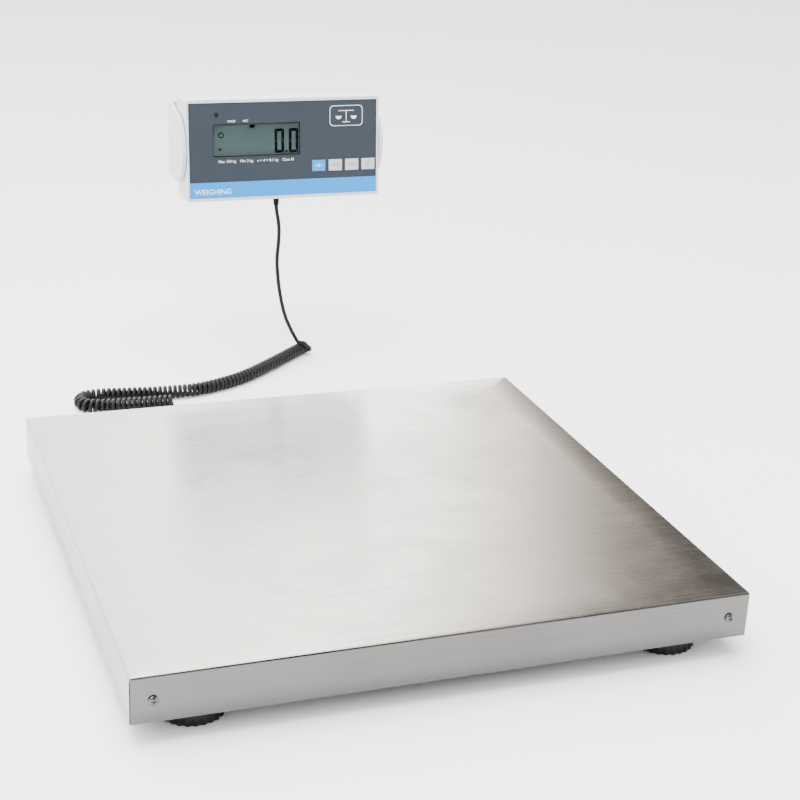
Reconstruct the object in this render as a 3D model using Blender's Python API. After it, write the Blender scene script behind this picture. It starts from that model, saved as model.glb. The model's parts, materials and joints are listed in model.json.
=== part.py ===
"""A platform shipping scale: a low steel platform on four load cells and levelling feet, with a
wall-hung indicator that a curly cord joins to it.

The model stands on Z = 0, with +X to the operator's right and +Y away from the operator, towards
the wall. Its origin is on the floor, midway between the platform's front and the wall.
Everything is in metres.
"""

import math

import bmesh
import bpy
from mathutils import Matrix, Vector

# Clearances
GAP = 0.0003            # between pieces that touch
BOLT_CLEARANCE = 0.0003  # radial, round a shank or a stud in its hole

# Platform
DECK_WIDTH = 0.520
DECK_DEPTH = 0.520
DECK_HEIGHT = 0.059     # top of the cover above the floor
SKIRT_HEIGHT = 0.040
SHEET = 0.0012
COVER_EDGE_RADIUS = 0.0018
WALL_DISTANCE = 0.3297  # from the platform's rear to the wall

# Frame under the cover
RAIL_WIDTH = 0.030
RAIL_SIDE_CLEARANCE = 0.0013
RAIL_DEPTH = 0.033
RAIL_WALL = 0.002
CHANNEL_WIDTH = 0.044
CHANNEL_DEPTH = 0.0305
CHANNEL_WALL = 0.0025
RIB_WIDTH = 0.040
RIB_DEPTH = 0.018
RIB_WALL = 0.002

# Cover screws
SCREW_INSET = 0.018     # from the side of the cover
SCREW_DROP = 0.021      # below the top of the cover
SCREW_RADIUS = 0.002
SCREW_LENGTH = 0.012
SCREW_HEAD_RADIUS = 0.004
SCREW_CROWN_RADIUS = 0.0029
SCREW_HEAD_HEIGHT = 0.0024
SCREW_DRIVE_RADIUS = 0.0014
SCREW_DRIVE_DEPTH = 0.0012

# Load cells
CELL_LENGTH = 0.130
CELL_WIDTH = 0.025
CELL_HEIGHT = 0.022
CELL_STEP = 0.0027      # the clamped end stands this much proud
CELL_CLAMP_LENGTH = 0.050
CELL_END_MARGIN = 0.015  # from the foot's axis to the cell's free end
CELL_GAUGE_RADIUS = 0.0075
CELL_GAUGE_SPACING = 0.024
CELL_GAUGE_MOUTH = 2.7  # radians of each gauge hole's arc, either side of its far point
CELL_BOLT_RADIUS = 0.003
CELL_BOLT_MARGIN = 0.013
CELL_BOLT_SPACING = 0.022
CELL_BOLT_HEAD_RADIUS = 0.0055
CELL_BOLT_HEAD_HEIGHT = 0.004
CELL_STRIP_WIDTH = 0.018
CELL_STRIP_THICKNESS = 0.002
CELL_STRIP_MARGIN = 0.009

# Levelling feet
FOOT_INSET_X = 0.056
FOOT_INSET_Y = 0.041
FOOT_RADIUS = 0.0275
FOOT_GRIP_DEPTH = 0.0011
FOOT_GRIP_COUNT = 26
FOOT_LIFT = 0.001       # of the disc above the floor
FOOT_DISC_HEIGHT = 0.0135
FOOT_EDGE = 0.0015
FOOT_SOLE_RADIUS = 0.0185
FOOT_SOLE_HEIGHT = 0.003
STUD_RADIUS = 0.004
STUD_LENGTH = 0.040
STUD_SEAT = 0.0065      # height of the stud's lower end
STUD_TIP_RADIUS = 0.003
STUD_TIP_LENGTH = 0.001
NUT_RADIUS = 0.0075     # over the corners
NUT_HEIGHT = 0.0065

# Junction box in the rear channel
BOX_LENGTH = 0.090
BOX_SIDE_CLEARANCE = 0.0006
BOX_DEPTH = 0.024
BOX_WALL = 0.002
BOARD_LENGTH = 0.076
BOARD_WIDTH = 0.028
BOARD_THICKNESS = 0.0016
BOARD_HEIGHT = 0.0460   # of the board's underside above the floor
CELL_CABLE_RADIUS = 0.002
CELL_CABLE_RISE = 0.0410
CELL_CABLE_UNDER = 0.0240
CELL_CABLE_OUT = 0.0240  # from the middle, beside the rib
CELL_CABLE_END_GAP = 0.0008
CELL_CABLE_BEND = 0.012

# Gland
GLAND_HEIGHT = 0.039
GLAND_THREAD_RADIUS = 0.006
GLAND_FLANGE_RADIUS = 0.0095
GLAND_FLANGE_DEPTH = 0.006
GLAND_DOME_RADIUS = 0.0080
GLAND_DOME_DEPTH = 0.010
GLAND_CROWN_RADIUS = 0.0048
GLAND_CROWN_DEPTH = 0.004
GLAND_NUT_RADIUS = 0.0100
GLAND_NUT_DEPTH = 0.004
GLAND_INNER = 0.0070    # reach of the thread behind the sheet

# Cord
CORD_RADIUS = 0.0023
COIL_RADIUS = 0.0077
COIL_AXIS_HEIGHT = 0.0079

# Indicator
FACE_WIDTH = 0.229
FACE_HEIGHT = 0.115
CASE_DEPTH = 0.045
CASE_SPLIT = 0.020      # depth of the front case
CASE_WALL = 0.0025
CASE_FRONT_WALL = 0.0022
CASE_CORNER = 0.003
CASE_REAR_EASE = 0.005
HEAD_X = 0.0778         # of the indicator's middle
PIVOT_HEIGHT = 0.2581
PIVOT_DEPTH = 0.037     # behind the face
PIVOT_RISE = 0.002      # above the middle of the face
REST_TILT = math.radians(-6)
OVERLAY_WIDTH = 0.2235
OVERLAY_HEIGHT = 0.1075
OVERLAY_THICKNESS = 0.0004
OVERLAY_RECESS = 0.0008
LCD_CENTRE = (-0.03215, 0.01115)
LCD_WIDTH = 0.1031
LCD_HEIGHT = 0.0375
WINDOW_THICKNESS = 0.0008
WINDOW_MARGIN = 0.003
LCD_GLASS_THICKNESS = 0.0024
KEY_FIRST_X = 0.0415
KEY_PITCH = 0.0201
KEY_Z = -0.021
KEY_WIDTH = 0.016
KEY_HEIGHT = 0.013
KEY_CLEARANCE = 0.0003
KEY_PROUD = 0.0006
KEY_LIP = 0.001
KEY_LIP_THICKNESS = 0.001
KEY_NAMES = ("key_zero", "key_tare", "key_unit", "key_power")
LED_POSITION = (-0.0794, 0.0402)
LED_RADIUS = 0.0025
LED_LENGTH = 0.006
MAIN_BOARD_DEPTH = 0.0125
MAIN_BOARD_WIDTH = 0.190
MAIN_BOARD_HEIGHT = 0.085
PACK_SIZE = (0.112, 0.013, 0.030)
PACK_DEPTH = 0.026
PACK_Z = -0.034
DOOR_WIDTH = 0.120
DOOR_HEIGHT = 0.036
DOOR_THICKNESS = 0.0018
RELIEF_X = -0.0033
RELIEF_DEPTH = 0.026    # of the cord's exit behind the face
RELIEF_LENGTH = 0.012
RELIEF_TOP_RADIUS = 0.0048
RELIEF_TIP_RADIUS = 0.0032
RELIEF_NECK_RADIUS = 0.0035
RELIEF_COLLAR_RADIUS = 0.0055
RELIEF_COLLAR_THICKNESS = 0.0015

# Wall bracket
EAR_GAP = 0.001         # between an ear and the case
EAR_THICKNESS = 0.004
EAR_RADIUS = 0.0395
EAR_REAR_RISE = 0.046   # of an ear's rear corner above the pivot
PLATE_DEPTH = 0.003
PIVOT_DISTANCE = 0.0355  # from the wall
PIN_RADIUS = 0.004
PIN_CLEARANCE = 0.0004
PIN_LENGTH = 0.0065
KEYHOLE_X = 0.060
KEYHOLE_RISE = 0.014
KEYHOLE_RADIUS = 0.0045
KEYSLOT_RADIUS = 0.0023
KEYSLOT_LENGTH = 0.010

# Smoothness
ROUND_STEPS = 24
CORNER_STEPS = 3
SMOOTH_ANGLE = math.radians(40)

# Derived places
SCREW_PROUD = GAP + SCREW_HEAD_HEIGHT
DECK_FRONT = SCREW_PROUD - (SCREW_PROUD + DECK_DEPTH + WALL_DISTANCE) / 2
DECK_REAR = DECK_FRONT + DECK_DEPTH
WALL_Y = DECK_REAR + WALL_DISTANCE
SKIRT_BOTTOM = DECK_HEIGHT - SKIRT_HEIGHT
FRAME_TOP = DECK_HEIGHT - SHEET - GAP
SCREW_Z = DECK_HEIGHT - SCREW_DROP
SCREW_X = DECK_WIDTH / 2 - SCREW_INSET
RAIL_OUTER_X = DECK_WIDTH / 2 - SHEET - RAIL_SIDE_CLEARANCE
RAIL_INNER_X = RAIL_OUTER_X - RAIL_WIDTH
FOOT_X = DECK_WIDTH / 2 - FOOT_INSET_X
FRONT_FOOT_Y = DECK_FRONT + FOOT_INSET_Y
REAR_FOOT_Y = DECK_REAR - FOOT_INSET_Y
CHANNEL_ROOF = FRAME_TOP - CHANNEL_WALL
CELL_TOP = CHANNEL_ROOF - GAP - CELL_STEP
CELL_BOTTOM = CELL_TOP - CELL_HEIGHT
CELL_INNER_X = FOOT_X + CELL_END_MARGIN - CELL_LENGTH
BOX_BOTTOM = CHANNEL_ROOF - GAP - BOX_DEPTH
HEAD_PIVOT = Vector((HEAD_X, WALL_Y - PIVOT_DISTANCE, PIVOT_HEIGHT))
HEAD_TURN = Matrix.Rotation(REST_TILT, 4, "X")
FACE_Y = -PIVOT_DEPTH   # of the face, from the pivot
FACE_Z = -PIVOT_RISE    # of the face's middle, from the pivot
CORNERS = (
    ("front_left", -1, FRONT_FOOT_Y),
    ("front_right", 1, FRONT_FOOT_Y),
    ("rear_left", -1, REAR_FOOT_Y),
    ("rear_right", 1, REAR_FOOT_Y),
)

# Chosen points of the cord's route, in order from the indicator to the gland
CORD_DROP = (
    (0.0745, 0.3722, 0.1874), (0.0752, 0.3716, 0.1807), (0.0779, 0.3712, 0.1640),
    (0.0782, 0.3712, 0.1460), (0.0766, 0.3710, 0.1250), (0.0772, 0.3708, 0.1080),
    (0.0802, 0.3703, 0.0830), (0.0860, 0.3694, 0.0560), (0.0936, 0.3680, 0.0360),
    (0.1020, 0.3668, 0.0185),
)
CORD_COIL = (
    (0.1110, 0.3720), (0.0830, 0.3470), (0.0567, 0.3236), (0.0119, 0.2880), (-0.0389, 0.2650),
    (-0.0837, 0.2615), (-0.1258, 0.2660), (-0.1560, 0.2695), (-0.1735, 0.2655), (-0.1795, 0.2530),
    (-0.1735, 0.2405), (-0.1540, 0.2355), (-0.1200, 0.2335), (-0.0810, 0.2320),
)
CORD_FLOOR = (
    (-0.0803, 0.2320, 0.0026), (-0.0670, 0.2300, 0.0024), (-0.0520, 0.2210, 0.0024),
    (-0.0380, 0.2060, 0.0024), (-0.0250, 0.1870, 0.0026), (-0.0140, 0.1690, 0.0085),
    (-0.0060, 0.1530, 0.0210), (-0.0015, 0.1380, 0.0330), (0.0000, 0.1250, 0.0384),
    (0.0000, 0.1120, 0.0390), (0.0000, 0.0950, 0.0390), (0.0000, 0.0720, 0.0390),
)


# Materials and scene -----------------------------------------------------------------------

def clear_scene():
    """Removes every object of the open scene."""
    for old in list(bpy.data.objects):
        bpy.data.objects.remove(old, do_unlink=True)


def material(name, colour, roughness, metallic=0.0):
    """A plain Principled material."""
    made = bpy.data.materials.new(name)
    made.use_nodes = True
    shader = made.node_tree.nodes["Principled BSDF"]
    shader.inputs["Base Color"].default_value = (*colour, 1.0)
    shader.inputs["Roughness"].default_value = roughness
    shader.inputs["Metallic"].default_value = metallic
    made.diffuse_color = (*colour, 1.0)
    return made


def add_object(name, mesh_or_curve, finish, parent=None):
    """Links an object that wears this finish, under a parent if it has one."""
    made = bpy.data.objects.new(name, mesh_or_curve)
    mesh_or_curve.materials.append(finish)
    bpy.context.scene.collection.objects.link(made)
    made.parent = parent
    return made


def add_mesh(name, shape, finish, parent=None):
    """Turns a bmesh into an object, smooth over its rounds and sharp at its edges."""
    bmesh.ops.recalc_face_normals(shape, faces=shape.faces)
    mesh = bpy.data.meshes.new(name)
    shape.to_mesh(mesh)
    shape.free()
    mesh.shade_smooth()
    mesh.set_sharp_from_angle(angle=SMOOTH_ANGLE)
    return add_object(name, mesh, finish, parent)


def boolean(target, operation, shape):
    """Cuts or joins the target with a shape, which stays as a hidden guide."""
    guide = add_mesh(f"{target.name}_{operation.lower()}", shape, STEEL, target.parent)
    guide.hide_render = True
    guide.display_type = "WIRE"
    modifier = target.modifiers.new(operation.title(), "BOOLEAN")
    modifier.operation = operation
    modifier.solver = "EXACT"
    modifier.object = guide


# Shapes ------------------------------------------------------------------------------------

def add_box(shape, low, high):
    """A box between two corners."""
    middle = (Vector(low) + Vector(high)) / 2
    size = Vector(high) - Vector(low)
    place = Matrix.Translation(middle) @ Matrix.Diagonal((*size, 1.0))
    bmesh.ops.create_cube(shape, size=1.0, matrix=place)


def box(low, high):
    """A new shape that holds one box."""
    shape = bmesh.new()
    add_box(shape, low, high)
    return shape


def add_rod(shape, start, end, radius, end_radius=None, sides=ROUND_STEPS):
    """A rod or a cone frustum from start to end."""
    start, end = Vector(start), Vector(end)
    axis = end - start
    facing = axis.to_track_quat("Z", "Y").to_matrix().to_4x4()
    place = Matrix.Translation((start + end) / 2) @ facing
    bmesh.ops.create_cone(
        shape, cap_ends=True, segments=sides, radius1=radius,
        radius2=radius if end_radius is None else end_radius, depth=axis.length, matrix=place,
    )


def add_prism(shape, outline, start, end, place):
    """A prism of an outline of (a, b) points, where place(a, b, c) gives a point at c."""
    first = [shape.verts.new(place(a, b, start)) for a, b in outline]
    last = [shape.verts.new(place(a, b, end)) for a, b in outline]
    shape.faces.new(first)
    shape.faces.new(reversed(last))
    for index, corner in enumerate(first):
        after = (index + 1) % len(first)
        shape.faces.new((corner, last[index], last[after], first[after]))


def along_x(a, b, c):
    """Outline in Y and Z, run along X."""
    return (c, a, b)


def along_y(a, b, c):
    """Outline in X and Z, run along Y."""
    return (a, c, b)


def along_z(a, b, c):
    """Outline in X and Y, run along Z."""
    return (a, b, c)


def arc(centre, radius, start, end, steps):
    """Points of an arc, from one angle to another, both included."""
    return [
        (centre[0] + radius * math.cos(angle), centre[1] + radius * math.sin(angle))
        for angle in (start + (end - start) * step / steps for step in range(steps + 1))
    ]


def rounded_rectangle(width, height, radius, centre=(0.0, 0.0), steps=CORNER_STEPS):
    """Outline of a rectangle with round corners."""
    points = []
    for quarter, (side_a, side_b) in enumerate(((1, 1), (-1, 1), (-1, -1), (1, -1))):
        middle = (
            centre[0] + side_a * (width / 2 - radius),
            centre[1] + side_b * (height / 2 - radius),
        )
        first = quarter * math.pi / 2
        points += arc(middle, radius, first, first + math.pi / 2, steps)
    return points


def add_turned(shape, profile, place, sides=ROUND_STEPS):
    """A body turned from a closed profile of (radius, height) points clear of its axis."""
    rings = [
        [
            shape.verts.new(place @ Vector((
                radius * math.cos(2 * math.pi * side / sides),
                radius * math.sin(2 * math.pi * side / sides),
                height,
            )))
            for radius, height in profile
        ]
        for side in range(sides)
    ]
    for side, ring in enumerate(rings):
        after = rings[(side + 1) % sides]
        for point in range(len(profile)):
            follow = (point + 1) % len(profile)
            shape.faces.new((ring[point], after[point], after[follow], ring[follow]))


def tray(name, low, high, wall, finish, edge=0.0):
    """A pressed cover or channel: a box of sheet that is open underneath."""
    shape = bmesh.new()
    add_box(shape, low, high)
    if edge:
        base = min(vertex.co.z for vertex in shape.verts)
        rounded = [e for e in shape.edges if any(v.co.z > base + edge for v in e.verts)]
        bmesh.ops.bevel(shape, geom=rounded, offset=edge, segments=2, profile=0.5,
                        affect="EDGES")
    made = add_mesh(name, shape, finish)
    inside_low = (low[0] + wall, low[1] + wall, low[2] - wall)
    inside_high = (high[0] - wall, high[1] - wall, high[2] - wall)
    boolean(made, "DIFFERENCE", box(inside_low, inside_high))
    return made


def smooth_route(points, step):
    """Points about a step apart on one smooth curve through the chosen points."""
    points = [Vector(point) for point in points]
    ends = [2 * points[0] - points[1], *points, 2 * points[-1] - points[-2]]
    route = []
    for before, start, end, after in zip(ends, ends[1:], ends[2:], ends[3:]):
        count = max(2, round((end - start).length / step))
        for index in range(count):
            t = index / count
            route.append(0.5 * (
                2 * start + (end - before) * t
                + (2 * before - 5 * start + 4 * end - after) * t ** 2
                + (3 * start - before - 3 * end + after) * t ** 3
            ))
    return [*route, points[-1]]


def tube(name, points, radius, step, finish, detail=2):
    """A cord or a cable along a smooth route."""
    curve = bpy.data.curves.new(name, "CURVE")
    curve.dimensions = "3D"
    curve.bevel_depth = radius
    curve.bevel_resolution = detail
    curve.use_fill_caps = True
    route = smooth_route(points, step)
    spline = curve.splines.new("POLY")
    spline.points.add(len(route) - 1)
    for point, place in zip(spline.points, route):
        point.co = (*place, 1.0)
    return add_object(name, curve, finish)


# Platform ----------------------------------------------------------------------------------

def screw_places():
    """Name, place and outward direction of each cover screw."""
    return [
        ("front_left", -SCREW_X, DECK_FRONT, -1),
        ("front_right", SCREW_X, DECK_FRONT, -1),
        ("rear_left", -SCREW_X, DECK_REAR, 1),
        ("rear_right", SCREW_X, DECK_REAR, 1),
    ]


def add_screw_hole(shape, x, face_y, outward):
    """A clearance hole for a cover screw, through the skirt and the rail's end."""
    reach = SCREW_LENGTH + GAP
    add_rod(shape, (x, face_y + outward * GAP, SCREW_Z), (x, face_y - outward * reach, SCREW_Z),
            SCREW_RADIUS + BOLT_CLEARANCE)


def build_cover():
    """The stainless cover, with holes for its screws and the gland."""
    cover = tray("platform_cover", (-DECK_WIDTH / 2, DECK_FRONT, SKIRT_BOTTOM),
                 (DECK_WIDTH / 2, DECK_REAR, DECK_HEIGHT), SHEET, STAINLESS, COVER_EDGE_RADIUS)
    holes = bmesh.new()
    for _, x, face_y, outward in screw_places():
        add_screw_hole(holes, x, face_y, outward)
    add_rod(holes, (0, DECK_REAR - GLAND_INNER, GLAND_HEIGHT),
            (0, DECK_REAR + GAP, GLAND_HEIGHT), GLAND_THREAD_RADIUS + GAP)
    boolean(cover, "DIFFERENCE", holes)


def build_frame():
    """Side rails, front and rear channels, and the rib between the channels."""
    rail_front = DECK_FRONT + SHEET + GAP
    rail_rear = DECK_REAR - SHEET - GAP
    for side, name in ((-1, "frame_rail_left"), (1, "frame_rail_right")):
        x_low, x_high = sorted((side * RAIL_INNER_X, side * RAIL_OUTER_X))
        rail = tray(name, (x_low, rail_front, FRAME_TOP - RAIL_DEPTH),
                    (x_high, rail_rear, FRAME_TOP), RAIL_WALL, PAINTED)
        holes = bmesh.new()
        for _, x, face_y, outward in screw_places():
            if x * side > 0:
                add_screw_hole(holes, x, face_y, outward)
        boolean(rail, "DIFFERENCE", holes)
    for name, middle in (("frame_channel_front", FRONT_FOOT_Y), ("frame_channel_rear", REAR_FOOT_Y)):
        low = (-RAIL_INNER_X + GAP, middle - CHANNEL_WIDTH / 2, FRAME_TOP - CHANNEL_DEPTH)
        high = (RAIL_INNER_X - GAP, middle + CHANNEL_WIDTH / 2, FRAME_TOP)
        channel = tray(name, low, high, CHANNEL_WALL, PAINTED)
        holes = bmesh.new()
        for side in (-1, 1):
            for x in cell_bolt_places(side):
                add_rod(holes, (x, middle, CHANNEL_ROOF - GAP), (x, middle, FRAME_TOP + GAP),
                        CELL_BOLT_RADIUS + BOLT_CLEARANCE)
        if middle == REAR_FOOT_Y:
            add_rod(holes, (0, middle, GLAND_HEIGHT), (0, high[1] + GAP, GLAND_HEIGHT),
                    CORD_RADIUS + 2 * GAP)
        boolean(channel, "DIFFERENCE", holes)
    tray("frame_rib",
         (-RIB_WIDTH / 2, FRONT_FOOT_Y + CHANNEL_WIDTH / 2 + GAP, FRAME_TOP - RIB_DEPTH),
         (RIB_WIDTH / 2, REAR_FOOT_Y - CHANNEL_WIDTH / 2 - GAP, FRAME_TOP), RIB_WALL, PAINTED)


def build_cover_screws():
    """Pan-head screws through the skirt into the ends of the rails."""
    for name, x, face_y, outward in screw_places():
        seat = face_y + outward * GAP
        top = seat + outward * SCREW_HEAD_HEIGHT
        shape = bmesh.new()
        add_rod(shape, (x, seat, SCREW_Z), (x, top, SCREW_Z), SCREW_HEAD_RADIUS,
                SCREW_CROWN_RADIUS)
        screw = add_mesh(f"cover_screw_{name}", shape, ZINC)
        shank = bmesh.new()
        add_rod(shank, (x, seat + outward * GAP, SCREW_Z),
                (x, face_y - outward * SCREW_LENGTH, SCREW_Z), SCREW_RADIUS)
        boolean(screw, "UNION", shank)
        drive = bmesh.new()
        add_rod(drive, (x, top - outward * SCREW_DRIVE_DEPTH, SCREW_Z),
                (x, top + outward * GAP, SCREW_Z), SCREW_DRIVE_RADIUS, sides=6)
        boolean(screw, "DIFFERENCE", drive)


# Load cells --------------------------------------------------------------------------------

def cell_bolt_places(side):
    """The X of a load cell's two clamp bolts, on the left (-1) or the right (1)."""
    first = CELL_INNER_X + CELL_BOLT_MARGIN
    return (side * first, side * (first + CELL_BOLT_SPACING))


def build_load_cell(name, side, y):
    """A single-point cell: clamped to the channel at its inner end, on its foot at the other."""
    inner, outer = CELL_INNER_X, CELL_INNER_X + CELL_LENGTH
    outline = (
        (inner, CELL_BOTTOM), (outer, CELL_BOTTOM), (outer, CELL_TOP),
        (inner + CELL_CLAMP_LENGTH, CELL_TOP), (inner + CELL_CLAMP_LENGTH, CELL_TOP + CELL_STEP),
        (inner, CELL_TOP + CELL_STEP),
    )
    shape = bmesh.new()
    add_prism(shape, [(side * x, z) for x, z in outline], y - CELL_WIDTH / 2,
              y + CELL_WIDTH / 2, along_y)
    cell = add_mesh(f"load_cell_{name}", shape, ALUMINIUM)
    middle = side * (inner + CELL_CLAMP_LENGTH + outer) / 2 - side * CELL_END_MARGIN / 2
    height = (CELL_BOTTOM + CELL_TOP) / 2
    half = CELL_GAUGE_SPACING / 2
    dumbbell = (
        arc((middle + half, height), CELL_GAUGE_RADIUS, -CELL_GAUGE_MOUTH, CELL_GAUGE_MOUTH,
            ROUND_STEPS // 2)
        + arc((middle - half, height), CELL_GAUGE_RADIUS, math.pi - CELL_GAUGE_MOUTH,
              math.pi + CELL_GAUGE_MOUTH, ROUND_STEPS // 2)
    )
    holes = bmesh.new()
    add_prism(holes, dumbbell, y - CELL_WIDTH, y + CELL_WIDTH, along_y)
    for x in cell_bolt_places(side):
        add_rod(holes, (x, y, CELL_BOTTOM - GAP), (x, y, CHANNEL_ROOF + GAP),
                CELL_BOLT_RADIUS + BOLT_CLEARANCE)
    add_rod(holes, (side * FOOT_X, y, CELL_BOTTOM - GAP), (side * FOOT_X, y, CELL_TOP + GAP),
            STUD_RADIUS + BOLT_CLEARANCE)
    boolean(cell, "DIFFERENCE", holes)


def build_cell_bolts(name, side, y):
    """Two hexagon bolts on a common washer strip, up through the cell into the channel."""
    first, last = cell_bolt_places(side)
    x_low, x_high = sorted((first - side * CELL_STRIP_MARGIN, last + side * CELL_STRIP_MARGIN))
    strip_top = CELL_BOTTOM - GAP
    strip_bottom = strip_top - CELL_STRIP_THICKNESS
    bolts = add_mesh(f"load_cell_bolts_{name}", box(
        (x_low, y - CELL_STRIP_WIDTH / 2, strip_bottom),
        (x_high, y + CELL_STRIP_WIDTH / 2, strip_top)), ZINC)
    rods = bmesh.new()
    for x in (first, last):
        add_rod(rods, (x, y, strip_top - GAP), (x, y, FRAME_TOP - GAP), CELL_BOLT_RADIUS)
        add_rod(rods, (x, y, strip_bottom - CELL_BOLT_HEAD_HEIGHT), (x, y, strip_bottom + GAP),
                CELL_BOLT_HEAD_RADIUS, sides=6)
    boolean(bolts, "UNION", rods)


def build_cell_cables():
    """Each cell's cable, held along the frame on its way to the junction box."""
    box_end = BOX_LENGTH / 2 + GAP
    start = CELL_INNER_X - GAP
    box_front = REAR_FOOT_Y - CHANNEL_WIDTH / 2
    for name, side, y in CORNERS:
        if y == REAR_FOOT_Y:
            middle = (start + box_end) / 2
            points = ((side * start, y, CELL_CABLE_RISE), (side * middle, y, CELL_CABLE_RISE),
                      (side * box_end, y, CELL_CABLE_RISE))
        else:
            out = CELL_CABLE_OUT
            edge = y + CHANNEL_WIDTH / 2
            low, bend = CELL_CABLE_UNDER, CELL_CABLE_BEND
            points = (
                (side * start, y, CELL_CABLE_RISE),
                (side * (start - 2 * bend), y, CELL_CABLE_RISE - bend / 3),
                (side * (out + bend), y + bend / 2, low),
                (side * out, edge + bend / 3, low),
                (side * out, edge + 5 * bend, low),
                (side * out, (edge + box_front) / 2, low),
                (side * out, box_front - 5 * bend, low),
                (side * out, box_front, low),
                (side * out, box_front + bend, low),
                (side * out, box_front + 1.6 * bend, low + bend / 6),
                (side * out, box_front + 1.8 * bend, BOX_BOTTOM - CELL_CABLE_END_GAP),
            )
        tube(f"load_cell_cable_{name}", points, CELL_CABLE_RADIUS, 0.008, BLACK_RUBBER)


# Levelling feet ----------------------------------------------------------------------------

def grip_outline():
    """The foot disc's rim: shallow finger grips all the way round."""
    points = []
    count = FOOT_GRIP_COUNT * 4
    for index in range(count):
        angle = 2 * math.pi * index / count
        radius = FOOT_RADIUS - FOOT_GRIP_DEPTH * (index % 4 in (2, 3))
        points.append((radius * math.cos(angle), radius * math.sin(angle)))
    return points


def build_foot(name, x, y):
    """A levelling foot: the disc and its stud turn together above a sole that doesn't turn."""
    lift = bpy.data.objects.new(f"foot_{name}_axis", None)
    bpy.context.scene.collection.objects.link(lift)
    lift.location = (x, y, 0.0)
    sole = bmesh.new()
    add_rod(sole, (0, 0, 0), (0, 0, FOOT_SOLE_HEIGHT), FOOT_SOLE_RADIUS)
    add_mesh(f"foot_sole_{name}", sole, BLACK_RUBBER, lift)
    disc_top = FOOT_LIFT + FOOT_DISC_HEIGHT
    shape = bmesh.new()
    add_prism(shape, grip_outline(), FOOT_LIFT, disc_top - FOOT_EDGE, along_z)
    disc = add_mesh(f"foot_disc_{name}", shape, BLACK_PLASTIC, lift)
    crown = bmesh.new()
    add_rod(crown, (0, 0, disc_top - FOOT_EDGE - GAP), (0, 0, disc_top),
            FOOT_RADIUS - FOOT_GRIP_DEPTH - GAP, FOOT_RADIUS - FOOT_GRIP_DEPTH - FOOT_EDGE)
    boolean(disc, "UNION", crown)
    pockets = bmesh.new()
    add_rod(pockets, (0, 0, 0), (0, 0, FOOT_SOLE_HEIGHT + GAP), FOOT_SOLE_RADIUS + GAP)
    add_rod(pockets, (0, 0, STUD_SEAT - GAP), (0, 0, disc_top + GAP), STUD_RADIUS + GAP)
    boolean(disc, "DIFFERENCE", pockets)
    stud = bmesh.new()
    shoulder = STUD_SEAT + STUD_LENGTH - STUD_TIP_LENGTH
    add_rod(stud, (0, 0, STUD_SEAT), (0, 0, shoulder), STUD_RADIUS)
    stud_object = add_mesh(f"foot_stud_{name}", stud, ZINC, lift)
    tip = bmesh.new()
    add_rod(tip, (0, 0, shoulder - GAP), (0, 0, STUD_SEAT + STUD_LENGTH),
            STUD_RADIUS - GAP, STUD_TIP_RADIUS)
    boolean(stud_object, "UNION", tip)
    nut = bmesh.new()
    nut_top = CELL_BOTTOM - GAP
    add_rod(nut, (x, y, nut_top - NUT_HEIGHT), (x, y, nut_top), NUT_RADIUS, sides=6)
    lock_nut = add_mesh(f"foot_lock_nut_{name}", nut, ZINC)
    bore = bmesh.new()
    add_rod(bore, (x, y, nut_top - NUT_HEIGHT - GAP), (x, y, nut_top + GAP),
            STUD_RADIUS + BOLT_CLEARANCE)
    boolean(lock_nut, "DIFFERENCE", bore)


# Junction box and gland --------------------------------------------------------------------

def build_junction_box():
    """An open-topped box under the rear channel's roof, with the summing board inside."""
    half_width = CHANNEL_WIDTH / 2 - CHANNEL_WALL - BOX_SIDE_CLEARANCE
    top = CHANNEL_ROOF - GAP
    bottom = BOX_BOTTOM
    case = add_mesh("junction_box", box((-BOX_LENGTH / 2, REAR_FOOT_Y - half_width, bottom),
                                        (BOX_LENGTH / 2, REAR_FOOT_Y + half_width, top)),
                    BLACK_PLASTIC)
    boolean(case, "DIFFERENCE", box(
        (-BOX_LENGTH / 2 + BOX_WALL, REAR_FOOT_Y - half_width + BOX_WALL, bottom + BOX_WALL),
        (BOX_LENGTH / 2 - BOX_WALL, REAR_FOOT_Y + half_width - BOX_WALL, top + BOX_WALL)))
    inlet = bmesh.new()
    add_rod(inlet, (0, REAR_FOOT_Y, GLAND_HEIGHT), (0, REAR_FOOT_Y + CHANNEL_WIDTH, GLAND_HEIGHT),
            CORD_RADIUS + GAP)
    boolean(case, "DIFFERENCE", inlet)
    board_low = (-BOARD_LENGTH / 2, REAR_FOOT_Y - BOARD_WIDTH / 2, BOARD_HEIGHT)
    board_high = (BOARD_LENGTH / 2, REAR_FOOT_Y + BOARD_WIDTH / 2,
                  BOARD_HEIGHT + BOARD_THICKNESS)
    add_mesh("summing_board", box(board_low, board_high), BOARD_GREEN)


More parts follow.
